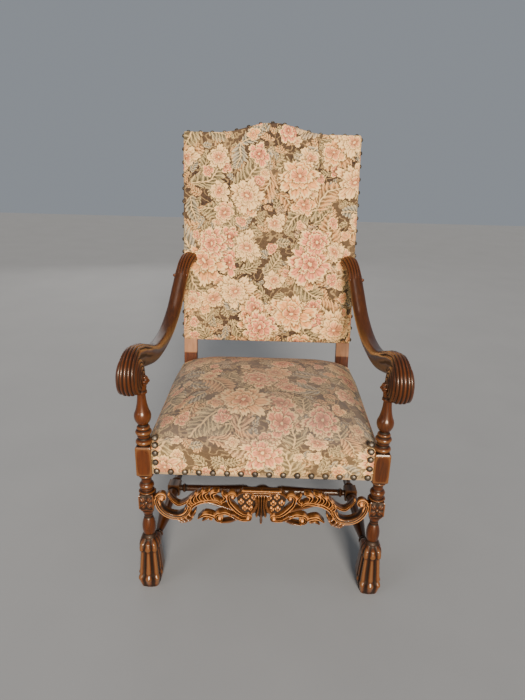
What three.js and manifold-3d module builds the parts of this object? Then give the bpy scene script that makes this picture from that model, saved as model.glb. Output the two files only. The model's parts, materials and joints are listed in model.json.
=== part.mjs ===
// Carved throne armchair: turned and carved front legs, scrolled arms, a pierced front stretcher,
// turned side and cross stretchers, a domed upholstered seat and a raked back with an arched top.
// Units are millimetres. The chair faces -Y, +X is to the right seen from the front, +Z is up.
// While it is built, y = 0 is the plane of the front leg axes; the finished group is shifted so that
// the origin lies on the floor under the middle of the whole chair.
import * as THREE from 'three';
import { mergeVertices } from 'three/addons/utils/BufferGeometryUtils.js';
import Module from 'manifold-3d';

const wasm = await Module();
wasm.setup();

// ---------------------------------------------------------------- driving dimensions
const GAP = 0.3;                 // clearance kept between pieces that touch

const LEG_X = 300;               // front leg axis to the middle of the chair
const SQUARE = 40.5;             // side of the plain square of a front leg
const SQUARE_LOW = 343;
const SQUARE_HIGH = 427;
const ROSETTE_SIDE = 42;         // carved square under it
const ROSETTE_LOW = 233.5;
const ROSETTE_HIGH = 287;
const NECK_TOP = 567;            // where the arm sits on the front leg
const NECK_DIAMETER = 21;
const TOES = 5;

const RAIL_LOW = 350;            // seat rails
const RAIL_HIGH = 420;
const RAIL_THICK = 26;
const SEAT_HALF = 299;           // half width over the covered side rails
const SEAT_FRONT = -20;
const SEAT_REAR = 606;
const SEAT_EDGE = 424;           // the dome of the seat starts here
const SEAT_FALL = 0.7;           // share of its height that it loses towards the back
const CORNER_FALL = 0.22;        // and the further share at the rear corners
const COVER = 5;                 // felt and fabric over a rail
const DUST_CLOTH = 2;

const BACK_HALF = 294.5;         // half width over the covered back posts
const RAKE = THREE.MathUtils.degToRad(9.2);
const BACK_FOOT_Y = 584;         // lower front edge of the back panel
const BACK_FOOT_Z = 506;
const BACK_SHOULDER = 696;       // length of the panel up the rake, to the shoulders
const BACK_APEX = 730;           // and to the top of the arch
const SHOULDER_WIDTH = 112;      // level part of the top edge at each side
const BACK_PAD = 8;              // padding in front of the back posts
const BACK_COVER = 3.5;          // fabric over the sides and top of the back frame
const OUTSIDE_THICK = 5;         // covered panel on the rear of the back

const POST_WIDE = 45;            // back post, across
const POST_DEEP = 26;            // front to back, above the seat
const KNEE_Z = 345;              // where the rear leg bends
const KNEE_DEEP = 40;
const REAR_FOOT_FRONT = 612;
const REAR_FOOT_DEEP = 36;

const SCROLL = { x: 321, y: -8, z: 613.5 };   // eye of the arm scroll
const SCROLL_OUTER = 76;         // its radius where the scroll starts, over the eye
const SCROLL_INNER = 27;         // and where it ends
const SCROLL_WIDE = 47;
const CREST_WIDE = 38;           // width of the band over the crest, before it spreads
const SCROLL_BAND = 32;          // thickness of the band that rolls up into the scroll
const ARM_WIDE = 44;
const ARM_DEEP = 33;
const REEDS = 5;
const REED_DEPTH = 2.6;
const TENON_X = 266;             // where the arm enters the back
const TENON_UP = 288;
const TENON_RADIUS = 12;

const CARVED_FACE = -14;         // front and rear of the carved stretcher
const CARVED_REAR = 7;
const STRETCHER_Z = 122;         // height of the turned stretchers
const STRETCHER_FRONT = { x: 286, y: 16 };
const STRETCHER_REAR = { x: 268, y: 604 };
const MID_BLOCK_Y = 256;
const MID_BLOCK = 38;

const NAIL_DIAMETER = 17;
const NAIL_HEIGHT = 6;
const NAIL_COUNT = 16;           // along the front rail
const NAIL_Z = 361;
const NAIL_EDGE = 267;           // outermost nails to the middle

// ---------------------------------------------------------------- materials
function finish(colour, roughness, metalness = 0) {
  return new THREE.MeshStandardMaterial({ color: colour, roughness, metalness });
}

const orangeWalnut = finish(0x8a4a1c, 0.38);
const darkWalnut = finish(0x5a2a12, 0.36);
const goldenWalnut = finish(0xa0642e, 0.38);
const beech = finish(0xb98a58, 0.6);
const tapestry = finish(0xa8917a, 0.92);
const blackCloth = finish(0x26221f, 0.95);
const agedBrass = finish(0x6f6455, 0.4, 0.85);

// ---------------------------------------------------------------- solids from geometry
function solid(geometry) {
  geometry.deleteAttribute('normal');
  geometry.deleteAttribute('uv');
  const merged = mergeVertices(geometry, 1e-4);
  return new wasm.Manifold(new wasm.Mesh({
    numProp: 3,
    vertProperties: new Float32Array(merged.attributes.position.array),
    triVerts: new Uint32Array(merged.index.array),
  }));
}

function geometryOf(body) {
  const mesh = body.getMesh();
  const geometry = new THREE.BufferGeometry();
  geometry.setAttribute('position', new THREE.BufferAttribute(mesh.vertProperties, 3));
  geometry.setIndex(new THREE.BufferAttribute(mesh.triVerts, 1));
  return geometry;
}

function join(bodies) {
  return bodies.reduce((whole, body) => whole.add(body));
}

// The body and its reflection across the middle plane of the chair.
function bothSides(body) {
  return body.add(body.mirror([1, 0, 0]));
}

function box(low, high) {
  const size = low.map((value, k) => high[k] - value);
  const geometry = new THREE.BoxGeometry(...size);
  return geometry.translate(...low.map((value, k) => value + size[k] / 2));
}

// A sum with the sign of the volume inside a closed set of faces.
function signedVolume(points, faces) {
  const normal = new THREE.Vector3();
  let sum = 0;
  for (let i = 0; i < faces.length; i += 3) {
    normal.crossVectors(points[faces[i + 1]], points[faces[i + 2]]);
    sum += points[faces[i]].dot(normal);
  }
  return sum;
}

// A closed body through a row of rings that all have the same number of points.
function loft(rings) {
  const count = rings[0].length;
  const points = rings.flat();
  for (const ring of [rings[0], rings[rings.length - 1]]) {
    const middle = new THREE.Vector3();
    ring.forEach((point) => middle.addScaledVector(point, 1 / count));
    points.push(middle);
  }
  const last = (rings.length - 1) * count;
  const faces = [];
  for (let j = 0; j < count; j += 1) {
    const k = (j + 1) % count;
    for (let a = 0; a < last; a += count) {
      const b = a + count;
      faces.push(a + j, b + j, a + k, a + k, b + j, b + k);
    }
    faces.push(points.length - 2, j, k, points.length - 1, last + k, last + j);
  }
  if (signedVolume(points, faces) < 0) {
    faces.reverse();
  }
  const geometry = new THREE.BufferGeometry().setFromPoints(points);
  geometry.setIndex(faces);
  return geometry;
}

// A level ring around (x, y), rx wide and ry deep each way; a high power makes it square.
function levelRing({ x = 0, y = 0, z, rx, ry = rx, power = 2, count = 12 }) {
  const points = [];
  const shape = (value) => Math.sign(value) * Math.abs(value) ** (2 / power);
  for (let i = 0; i < count; i += 1) {
    const angle = (i + 0.5) * 2 * Math.PI / count;
    points.push(new THREE.Vector3(x + rx * shape(Math.cos(angle)), y + ry * shape(Math.sin(angle)), z));
  }
  return points;
}

// ---------------------------------------------------------------- turning
// A turned piece along Z from a list of steps. Each step ends at height z with diameter d; with a
// belly, the way there is an arc that has that diameter at its middle.
function turned(start, steps, sides = 8, divisions = 3) {
  const path = new THREE.Path();
  path.moveTo(0, start.z);
  path.lineTo(start.d / 2, start.z);
  let from = start;
  for (const step of steps) {
    if (step.belly) {
      const control = step.belly - (from.d + step.d) / 4;
      path.quadraticCurveTo(control, (from.z + step.z) / 2, step.d / 2, step.z);
    } else {
      path.lineTo(step.d / 2, step.z);
    }
    from = step;
  }
  path.lineTo(0, from.z);
  return new THREE.LatheGeometry(path.getPoints(divisions), sides).rotateX(Math.PI / 2);
}

// An upright square bar with rounded corners, through rings of { z, side, corner }.
function squareBar(rings) {
  return loft(rings.map(({ z, side, corner }) => {
    const edge = side / 2;
    const flat = edge - corner;
    const ring = [[edge, flat], [flat, edge], [-flat, edge], [-edge, flat]];
    const under = ring.map(([x, y]) => [-x, -y]);
    return [...ring, ...under].map(([x, y]) => new THREE.Vector3(x, y, z));
  }));
}

// ---------------------------------------------------------------- front leg
// Level rings of the carved foot: height, width, reach in front of and behind the leg axis, and the
// depth of the flutes between its toes.
const FOOT_RINGS = [
  { z: 149, wide: 32, front: 16, rear: 16, flute: 0 },
  { z: 136, wide: 48, front: 31, rear: 24, flute: 3.5 },
  { z: 124, wide: 49.5, front: 34, rear: 26, flute: 3.5 },
  { z: 116, wide: 47, front: 33, rear: 26, flute: 2.5 },
  { z: 112, wide: 43, front: 28, rear: 27, flute: 2.5 },
  { z: 88, wide: 49, front: 33, rear: 33, flute: 3.8 },
  { z: 60, wide: 54, front: 38, rear: 34, flute: 4.2 },
  { z: 34, wide: 61, front: 45, rear: 31, flute: 4 },
  { z: 18, wide: 56, front: 42, rear: 29, flute: 2.5 },
  { z: 0, wide: 46, front: 33, rear: 26, flute: 0 },
];

function footRing({ z, wide, front, rear, flute }) {
  const points = [];
  const steps = TOES * 3;
  for (let i = 0; i <= steps; i += 1) {
    const angle = Math.PI * i / steps;
    const sunk = flute * (1 - Math.abs(Math.sin(TOES * angle)));
    const cosine = Math.cos(angle);
    const x = (wide / 2 - sunk) * Math.sign(cosine) * Math.abs(cosine) ** 0.8;
    points.push(new THREE.Vector3(x, -(front - sunk) * Math.sin(angle) ** 0.55, z));
  }
  for (const angle of [0.8, 0.5, 0.2]) {
    const x = wide / 2 * Math.cos(Math.PI * angle);
    points.push(new THREE.Vector3(x, rear * Math.sin(Math.PI * angle), z));
  }
  return points;
}

const UPPER_TURNING = [
  { z: SQUARE_HIGH + 3, d: 35 },
  { z: 443, d: 33, belly: 42 },
  { z: 449, d: 29 },
  { z: 456, d: 32 },
  { z: 470, d: 32, belly: 41 },
  { z: 479, d: 31 },
  { z: 485, d: 24 },
  { z: 521, d: 35, belly: 42 },
  { z: NECK_TOP - 4, d: NECK_DIAMETER, belly: 25 },
  { z: NECK_TOP, d: NECK_DIAMETER },
];
const LOWER_TURNING = [
  { z: 155, d: 30, belly: 37 },
  { z: 207, d: 24, belly: 35 },
  { z: 214, d: 23 },
  { z: 230, d: 32 },
  { z: 286, d: 38 },
  { z: 293, d: 30, belly: 42 },
  { z: 300, d: 31 },
  { z: 316, d: 29, belly: 38 },
  { z: 332, d: 28 },
  { z: 340, d: 36 },
  { z: SQUARE_LOW + 2, d: 36 },
];

// Four pointed leaves laid crosswise with a bead in the middle, on a face that looks along -Y.
function rosette(side) {
  const bodies = [];
  for (let i = 0; i < 4; i += 1) {
    const leaf = new THREE.OctahedronGeometry(1).scale(side * 0.3, 3.2, side * 0.13);
    leaf.translate(side * 0.3, 0, 0).rotateY(Math.PI / 4 + i * Math.PI / 2);
    bodies.push(solid(leaf));
  }
  bodies.push(solid(new THREE.OctahedronGeometry(1).scale(side * 0.12, 4.6, side * 0.12)));
  return join(bodies);
}

function frontLeg() {
  const bodies = [
    solid(turned({ z: SQUARE_HIGH - 2, d: 35 }, UPPER_TURNING)),
    solid(turned({ z: 142, d: 34 }, LOWER_TURNING)),
    solid(loft(FOOT_RINGS.map(footRing))),
    solid(squareBar([
      { z: SQUARE_LOW, side: SQUARE - 5, corner: 4 },
      { z: SQUARE_LOW + 4, side: SQUARE, corner: 1.5 },
      { z: SQUARE_HIGH - 4, side: SQUARE, corner: 1.5 },
      { z: SQUARE_HIGH, side: SQUARE - 5, corner: 4 },
    ])),
    solid(squareBar([
      { z: ROSETTE_LOW, side: ROSETTE_SIDE - 8, corner: 7 },
      { z: ROSETTE_LOW + 12, side: ROSETTE_SIDE - 2, corner: 3 },
      { z: ROSETTE_HIGH - 5, side: ROSETTE_SIDE - 2, corner: 3 },
      { z: ROSETTE_HIGH, side: ROSETTE_SIDE - 6, corner: 6 },
    ])),
  ];
  const flower = rosette(ROSETTE_SIDE).translate([0, 1 - ROSETTE_SIDE / 2, 262]);
  for (const turn of [0, 90]) {
    bodies.push(flower.rotate([0, 0, turn]));
  }
  return join(bodies);
}

// ---------------------------------------------------------------- back
// Takes a geometry from the upright frame of the back, where y = 0 is the edge of its face and z
// runs up the rake from its lower edge, to its place in the chair.
function leaned(geometry) {
  return solid(geometry.rotateX(-RAKE).translate(0, BACK_FOOT_Y, BACK_FOOT_Z));
}

// Depth in the chair of a line up the back posts, at a height above the floor.
function postLine(depth, z) {
  return BACK_FOOT_Y + depth / Math.cos(RAKE) + (z - BACK_FOOT_Z) * Math.tan(RAKE);
}

// Height of the top edge at a distance x from the middle: level shoulders, then an arch.
function backTop(x) {
  const part = Math.min(Math.abs(x) / (BACK_HALF - SHOULDER_WIDTH), 1);
  return BACK_SHOULDER + (BACK_APEX - BACK_SHOULDER) * (1 + Math.cos(Math.PI * part)) / 2;
}

// The outline of the back or of one of its rails, lowered at its top, as points (x, z).
function backOutline(half, low, lowered) {
  const arch = BACK_HALF - SHOULDER_WIDTH;
  const points = [[half, low], [half, backTop(half) - lowered]];
  for (let i = 0; i <= 10; i += 1) {
    const x = arch * (1 - i / 5);
    points.push([x, backTop(x) - lowered]);
  }
  points.push([-half, backTop(half) - lowered], [-half, low]);
  return points;
}

function outlinePlate(outline, front, rear) {
  return loft([front, rear].map((y) => outline.map(([x, z]) => new THREE.Vector3(x, y, z))));
}

const POST_TOP = BACK_SHOULDER - BACK_COVER;
const POST_INNER = BACK_HALF - BACK_COVER - POST_WIDE;
const POST_REAR = BACK_PAD + POST_DEEP;

function rearLeg() {
  const frontTop = new THREE.Vector2(BACK_PAD, POST_TOP).rotateAround(new THREE.Vector2(), -RAKE);
  const rearTop = new THREE.Vector2(POST_REAR, POST_TOP).rotateAround(new THREE.Vector2(), -RAKE);
  const foot = new THREE.Vector2(BACK_FOOT_Y, BACK_FOOT_Z);
  const kneeFront = postLine(BACK_PAD, KNEE_Z);
  const side = new THREE.Shape([
    new THREE.Vector2(REAR_FOOT_FRONT, 0),
    new THREE.Vector2(REAR_FOOT_FRONT + REAR_FOOT_DEEP, 0),
    new THREE.Vector2(kneeFront + KNEE_DEEP, KNEE_Z),
    new THREE.Vector2(postLine(POST_REAR, RAIL_HIGH + 20), RAIL_HIGH + 20),
    rearTop.add(foot),
    frontTop.add(foot),
    new THREE.Vector2(kneeFront, KNEE_Z),
  ]);
  const geometry = new THREE.ExtrudeGeometry(side, { depth: POST_WIDE, bevelEnabled: false });
  const basis = new THREE.Matrix4().makeBasis(
    new THREE.Vector3(0, 1, 0),
    new THREE.Vector3(0, 0, 1),
    new THREE.Vector3(1, 0, 0),
  );
  return solid(geometry.applyMatrix4(basis).translate(POST_INNER, 0, 0));
}

const BACK_RAIL_HIGH = 66;       // lower rail of the back, from its lower edge
const TOP_RAIL_LOW = 626;

function lowerBackRail() {
  const half = POST_INNER - GAP;
  return box([-half, BACK_PAD, COVER], [half, POST_REAR, BACK_RAIL_HIGH]);
}

function topBackRail() {
  return outlinePlate(backOutline(POST_INNER - GAP, TOP_RAIL_LOW, BACK_COVER), BACK_PAD, POST_REAR);
}

// The round tenon by which the right arm reaches the back post, grown by a clearance.
function armTenon(clearance) {
  const radius = TENON_RADIUS + clearance;
  const reach = BACK_PAD - GAP + clearance;
  const geometry = new THREE.CylinderGeometry(radius, radius, reach + 16, 8);
  return leaned(geometry.translate(TENON_X, (reach - 16) / 2, TENON_UP));
}

// The padded front of the back: its face swells forward in rings drawn in from the edge.
function backUpholstery() {
  const middle = BACK_SHOULDER / 2;
  const outline = backOutline(BACK_HALF, 0, 0);
  const steps = [[0, POST_REAR], [0, 3], [3, 0], [50, 0], [78, -4], [115, -9], [175, -13]];
  const rings = steps.map(([inset, y]) => outline.map(([x, z]) => new THREE.Vector3(
    x * (1 - inset / BACK_HALF),
    y,
    middle + (z - middle) * (1 - inset / middle),
  )));
  const inner = POST_INNER - GAP;
  const posts = box([inner, BACK_PAD - GAP, -50], [BACK_HALF - BACK_COVER + GAP, 60, POST_TOP + GAP]);
  const lower = box([-inner - 1, BACK_PAD - GAP, COVER - GAP], [inner + 1, 60, BACK_RAIL_HIGH + GAP]);
  const topRail = backOutline(inner + 1, TOP_RAIL_LOW - GAP, BACK_COVER - GAP);
  const upper = outlinePlate(topRail, BACK_PAD - GAP, 60);
  const frame = bothSides(leaned(posts)).add(leaned(lower)).add(leaned(upper));
  return geometryOf(leaned(loft(rings)).subtract(frame).subtract(bothSides(armTenon(GAP))));
}

function outsideBack() {
  const outline = backOutline(BACK_HALF - 2, 2, 2);
  return geometryOf(leaned(outlinePlate(outline, POST_REAR + GAP, POST_REAR + GAP + OUTSIDE_THICK)));
}

// ---------------------------------------------------------------- arm
// Middle line of the right arm, from the back post down and forward to the start of its scroll.
const ARM_LINE = [
  [264, 616, 794], [273, 594, 790], [281, 558, 768], [288, 505, 717],
  [298, 437, 648], [308, 340, 604], [314, 225, 602], [316, 130, 632], [316, 70, 655],
];

// A ring of the arm, wide across the chair and deep along outward, with reeds over its outer side.
function armRing(centre, across, outward, wide, deep, reed) {
  const points = [];
  for (let i = 0; i <= REEDS * 2; i += 1) {
    const u = 1 - i / REEDS;
    const crown = deep / 2 * Math.sqrt(1 - 0.94 * u ** 2);
    const groove = i % 2 === 0 && Math.abs(u) < 1 ? reed : 0;
    points.push([u * wide / 2, crown - groove]);
  }
  for (const [x, n] of [[-0.5, -0.15], [-0.32, -0.48], [0.32, -0.48], [0.5, -0.15]]) {
    points.push([x * wide, n * deep]);
  }
  return points.map(([x, n]) => centre.clone().addScaledVector(across, x).addScaledVector(outward, n));
}

function armBand() {
  const { lerp, smoothstep, degToRad } = THREE.MathUtils;
  const line = new THREE.CatmullRomCurve3(ARM_LINE.map((point) => new THREE.Vector3(...point)));
  const sideways = new THREE.Vector3(1, 0, 0);
  const rings = [];
  const armSteps = 11;
  for (let i = 0; i < armSteps; i += 1) {
    const t = i / armSteps;
    const along = line.getTangentAt(t);
    const across = sideways.clone().addScaledVector(along, -along.x).normalize();
    const outward = new THREE.Vector3().crossVectors(along, across);
    const tip = smoothstep(t, 0, 0.1);
    const reed = REED_DEPTH * (smoothstep(t, 0.72, 0.88) + 1 - smoothstep(t, 0.12, 0.2));
    const wide = lerp(36, lerp(ARM_WIDE, CREST_WIDE, smoothstep(t, 0.7, 1)), tip);
    const deep = lerp(32, ARM_DEEP, tip);
    rings.push(armRing(line.getPointAt(t), across, outward, wide, deep, reed));
  }
  const scrollSteps = 11;
  for (let i = 0; i <= scrollSteps; i += 1) {
    const t = i / scrollSteps;
    const angle = degToRad(lerp(70, 400, t));
    const outward = new THREE.Vector3(0, Math.cos(angle), Math.sin(angle));
    const spread = smoothstep(angle, degToRad(70), degToRad(170));
    const wide = lerp(CREST_WIDE, SCROLL_WIDE, spread);
    const deep = lerp(SCROLL_BAND, 16, t ** 1.5);
    const radius = lerp(SCROLL_OUTER, SCROLL_INNER, t ** 0.8) - deep / 2;
    const middle = SCROLL.x - (SCROLL_WIDE - wide) / 2;
    const centre = new THREE.Vector3(middle, SCROLL.y, SCROLL.z).addScaledVector(outward, radius);
    rings.push(armRing(centre, sideways, outward, wide, deep, REED_DEPTH));
  }
  return loft(rings);
}

// The stepped sides of the scroll, rising to its eye: a round body along X.
function scrollCore() {
  const radii = [16, 29, 42];
  const step = 4;
  const half = SCROLL_WIDE / 2 + 1 + step;
  const edge = radii.map((radius, i) => new THREE.Vector2(radius, half - i * step));
  const lower = edge.map((point) => new THREE.Vector2(point.x, -point.y));
  const profile = [new THREE.Vector2(0, -half), ...lower, ...edge.reverse(), new THREE.Vector2(0, half)];
  return new THREE.LatheGeometry(profile, 12).rotateZ(-Math.PI / 2).translate(SCROLL.x, SCROLL.y, SCROLL.z);
}

function rightArm() {
  const bracket = loft([
    levelRing({ x: LEG_X + 2, z: SCROLL.z - 12, rx: 12.5, ry: 16, count: 8 }),
    levelRing({ x: LEG_X, z: NECK_TOP + 14, rx: 13.5, ry: 16, count: 8 }),
    levelRing({ x: LEG_X, z: NECK_TOP + GAP, rx: 12, count: 8 }),
  ]);
  const button = new THREE.OctahedronGeometry(11, 1).translate(SCROLL.x - 36, SCROLL.y, SCROLL.z - 8);
  const bodies = [armBand(), scrollCore(), bracket, button].map(solid);
  for (const side of [-1, 1]) {
    bodies.push(solid(new THREE.OctahedronGeometry(5.5).translate(286 + 20 * side, 528, 748)));
  }
  const behindFace = leaned(box([-400, -GAP, -200], [400, 100, 900]));
  return join(bodies).subtract(behindFace).add(armTenon(0));
}

// ---------------------------------------------------------------- seat
const SIDE_RAIL_OUT = SEAT_HALF - COVER;
const LEG_CLEAR = SQUARE / 2 + GAP;
const LEG_ROOM = LEG_CLEAR + 1;   // clears the beads above the square too
const POST_FRONT_AT_RAIL = postLine(BACK_PAD, RAIL_LOW);

const SEAT_RAILS = {
  seat_rail_front: [
    [-LEG_X + LEG_CLEAR, SEAT_FRONT + COVER, RAIL_LOW],
    [LEG_X - LEG_CLEAR, SEAT_FRONT + COVER + RAIL_THICK, RAIL_HIGH],
  ],
  seat_rail_right: [
    [SIDE_RAIL_OUT - RAIL_THICK, LEG_CLEAR, RAIL_LOW],
    [SIDE_RAIL_OUT, POST_FRONT_AT_RAIL - GAP, RAIL_HIGH],
  ],
  seat_rail_left: [
    [-SIDE_RAIL_OUT, LEG_CLEAR, RAIL_LOW],
    [RAIL_THICK - SIDE_RAIL_OUT, POST_FRONT_AT_RAIL - GAP, RAIL_HIGH],
  ],
  seat_rail_rear: [
    [-POST_INNER + GAP, SEAT_REAR - COVER - RAIL_THICK, RAIL_LOW],
    [POST_INNER - GAP, SEAT_REAR - COVER, RAIL_HIGH],
  ],
};

// Space kept free around the front legs and the back posts, between two heights.
function legRoom(low, high) {
  const front = box([LEG_X - LEG_ROOM, SEAT_FRONT - 20, low], [LEG_X + 60, LEG_ROOM, high]);
  const rear = box([POST_INNER - GAP, POST_FRONT_AT_RAIL - 1, low], [LEG_X + 60, SEAT_REAR + 60, high]);
  return bothSides(solid(front).add(solid(rear)));
}

function seatUpholstery() {
  const { smoothstep } = THREE.MathUtils;
  const middle = (SEAT_FRONT + SEAT_REAR) / 2;
  const deep = (SEAT_REAR - SEAT_FRONT) / 2;
  const steps = [
    [0, RAIL_LOW, 24], [0, SEAT_EDGE, 24], [3, 440, 14], [12, 457, 9], [28, 474, 7],
    [55, 488, 5], [95, 498, 4], [150, 504, 3.2], [220, 506, 2.6],
  ];
  const rings = steps.map(([inset, z, power]) => levelRing({
    y: middle, z, rx: SEAT_HALF - inset, ry: deep - inset, power, count: 18,
  }));
  for (const point of rings.flat().filter(({ z }) => z > SEAT_EDGE)) {
    const corner = smoothstep(Math.abs(point.x), 170, SEAT_HALF);
    const fall = (SEAT_FALL + CORNER_FALL * corner) * smoothstep(point.y, 350, 640);
    point.z = SEAT_EDGE + (point.z - SEAT_EDGE) * (1 - fall);
  }
  let seat = solid(loft(rings)).subtract(legRoom(RAIL_LOW - 1, 600));
  for (const [low, high] of Object.values(SEAT_RAILS)) {
    const room = box(low.map((value, k) => value - (k === 2 ? 1 : GAP)), high.map((value) => value + GAP));
    seat = seat.subtract(solid(room));
  }
  return geometryOf(seat);
}

function dustCloth() {
  const edge = 8;
  const cloth = box(
    [edge - SEAT_HALF, SEAT_FRONT + edge, RAIL_LOW - GAP - DUST_CLOTH],
    [SEAT_HALF - edge, SEAT_REAR - edge, RAIL_LOW - GAP],
  );
  return geometryOf(solid(cloth).subtract(legRoom(RAIL_LOW - 10, RAIL_LOW + 10)));
}

// ---------------------------------------------------------------- carved front stretcher
// Points of a spiral round (x, z), from a radius and a start angle in degrees, winding in to its eye.
function spiral([x, z], radius, start, sweep, eye = 0.35) {
  const steps = Math.ceil(Math.abs(sweep) / 68);
  const points = [];
  for (let i = 0; i <= steps; i += 1) {
    const angle = THREE.MathUtils.degToRad(start + sweep * i / steps);
    const r = radius * (1 - (1 - eye) * i / steps);
    points.push([x + r * Math.cos(angle), z + r * Math.sin(angle)]);
  }
  return points;
}

// A carved band along a smooth path of points (x, z), narrower at its face. Its width runs through
// the three widths given, for its start, middle and end.
function band(path, [first, second, third], steps, face = CARVED_FACE) {
  const curve = new THREE.SplineCurve(path.map(([x, z]) => new THREE.Vector2(x, z)));
  const rings = [];
  for (let i = 0; i <= steps; i += 1) {
    const t = i / steps;
    const centre = curve.getPoint(t);
    const along = curve.getTangent(t);
    const { lerp } = THREE.MathUtils;
    const half = (t < 0.5 ? lerp(first, second, t * 2) : lerp(second, third, t * 2 - 1)) / 2;
    const section = [[-1, CARVED_REAR], [1, CARVED_REAR], [0.5, face], [-0.5, face]];
    rings.push(section.map(([side, y]) => new THREE.Vector3(
      centre.x - along.y * half * side,
      y,
      centre.y + along.x * half * side,
    )));
  }
  return solid(loft(rings));
}

function bead([x, z], radius, rise = 3) {
  const geometry = new THREE.OctahedronGeometry(1).scale(radius, rise + 6, radius);
  return solid(geometry.translate(x, CARVED_FACE + 6, z));
}

// The motifs of the right half, from the leg to the middle. Heights are above the floor.
const OUTER_EYE = [260, 273];
const LOWER_EYE = [109, 217];
const UPPER_EYE = [75, 285];
const INNER_EYE = [34, 220];

function outerScroll() {
  const sweep = [[274, 262], [266, 240], [248, 222], [226, 215], [204, 220], [191, 238], [186, 262]];
  const curl = spiral(OUTER_EYE, 12.5, -20, 330).reverse();
  const landing = band([[281, 262], [270, 266], [262, 268]], [34, 28, 20], 2, CARVED_FACE + 2);
  return [
    band([...curl, ...sweep], [7, 18, 10], 13),
    bead(OUTER_EYE, 5),
    landing,
    band([[244, 286], [217, 256], [184, 274]], [6, 8, 9], 3),
  ];
}

const STEM = [[189, 236], [178, 254], [160, 266], [139, 271], [118, 273], [103, 263]];
const LEAF_LOBES = [
  [[182, 250], [190, 262], [184, 280]],
  [[172, 258], [180, 274], [171, 291]],
  [[156, 266], [165, 284], [153, 299]],
  [[139, 270], [149, 290], [134, 302]],
  [[122, 272], [128, 292], [110, 300]],
];
const SKIRT_LOBES = [
  [[215, 212], [200, 204], [190, 214]],
  [[202, 216], [190, 206], [178, 220]],
  [[192, 226], [182, 222], [172, 238]],
];

function acanthus() {
  const lobes = LEAF_LOBES.map((lobe) => band(lobe, [13, 15, 5], 2));
  const skirt = SKIRT_LOBES.map((lobe) => band(lobe, [9, 12, 4], 2));
  return [
    band(STEM, [10, 13, 9], 6, CARVED_FACE - 2),
    ...lobes,
    ...skirt,
    band([[152, 268], [112, 257], [72, 244]], [8, 10, 8], 3),
    band([[106, 266], [94, 280], [104, 295]], [10, 13, 6], 2),
  ];
}

function lowerScroll() {
  const curl = spiral(LOWER_EYE, 15, 100, -330).reverse();
  return [
    band([...curl, [92, 233], [72, 225], [54, 215], [34, 213]], [6, 11, 9], 11),
    bead(LOWER_EYE, 5),
    band([[121, 219], [148, 227], [168, 213]], [14, 13, 3], 2),
    band([[108, 203], [84, 206], [62, 216]], [5, 9, 8], 2),
  ];
}

function diagonalScroll() {
  const upper = spiral(UPPER_EYE, 12, -10, 300).reverse();
  const lower = spiral(INNER_EYE, 11, 60, 300);
  return [
    band([...upper, [82, 264], [64, 242], [50, 232], ...lower], [5, 14, 5], 15),
    bead(UPPER_EYE, 4.5),
    bead(INNER_EYE, 4.5),
  ];
}

const LATTICE_BEADS = [[40, 286], [51, 268], [30, 265], [18, 281], [43, 249]];

function cartouche() {
  const frame = [[66, 286], [55, 296], [38, 300], [24, 294], [12, 278], [12, 256], [20, 240], [32, 232]];
  const ground = [[66, 286], [38, 300], [8, 296], [8, 236], [34, 226], [58, 244]];
  const plate = outlinePlate(ground, CARVED_FACE + 9, CARVED_REAR);
  return [
    solid(plate),
    band(frame, [6, 7, 6], 7),
    ...LATTICE_BEADS.map((place) => bead(place, 6.5)),
  ];
}

// Half of the shell in the middle: a moulded bar over five ribs that spread at their lower ends.
function shell() {
  const ribs = [
    [[0, 297], [0, 262], [0, 205]],
    [[8, 296], [6, 262], [9, 216]],
    [[16, 296], [12, 262], [22, 232]],
  ];
  const ground = [[-1, 296], [18, 296], [12, 262], [20, 232], [-1, 214]];
  return [
    solid(box([-1, CARVED_FACE + 1, 296], [50, CARVED_REAR, 304])),
    solid(box([-1, CARVED_FACE - 2, 291], [23, CARVED_REAR, 297])),
    ...ribs.map((rib) => band(rib, [7, 6, 7], 2)),
    solid(outlinePlate(ground, CARVED_FACE + 7, CARVED_REAR)),
  ];
}

function carvedStretcher() {
  const half = join([
    ...outerScroll(), ...acanthus(), ...lowerScroll(), ...diagonalScroll(), ...cartouche(), ...shell(),
  ]);
  const end = LEG_X - ROSETTE_SIDE / 2 - 4;
  const between = solid(box([-end, CARVED_FACE - 20, 150], [end, CARVED_REAR + 20, 350]));
  return geometryOf(bothSides(half).intersect(between));
}

// ---------------------------------------------------------------- turned stretchers
// A stretcher turned along Z from 0 to its length, square at each height given in blocks.
function turnedBar(length, steps, blocks) {
  const bodies = [solid(turned({ z: 0, d: steps[0].d }, [...steps, { z: length, d: steps[0].d }], 8, 2))];
  for (const z of blocks) {
    const side = MID_BLOCK;
    bodies.push(solid(squareBar([
      { z: z - side / 2, side: side - 4, corner: 4 },
      { z: z - side / 2 + 4, side, corner: 2 },
      { z: z + side / 2 - 4, side, corner: 2 },
      { z: z + side / 2, side: side - 4, corner: 4 },
    ])));
  }
  return join(bodies);
}

const SIDE_RUN = new THREE.Vector2(
  STRETCHER_REAR.x - STRETCHER_FRONT.x,
  STRETCHER_REAR.y - STRETCHER_FRONT.y,
);
const SIDE_ANGLE = Math.atan2(SIDE_RUN.x, SIDE_RUN.y);

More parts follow.
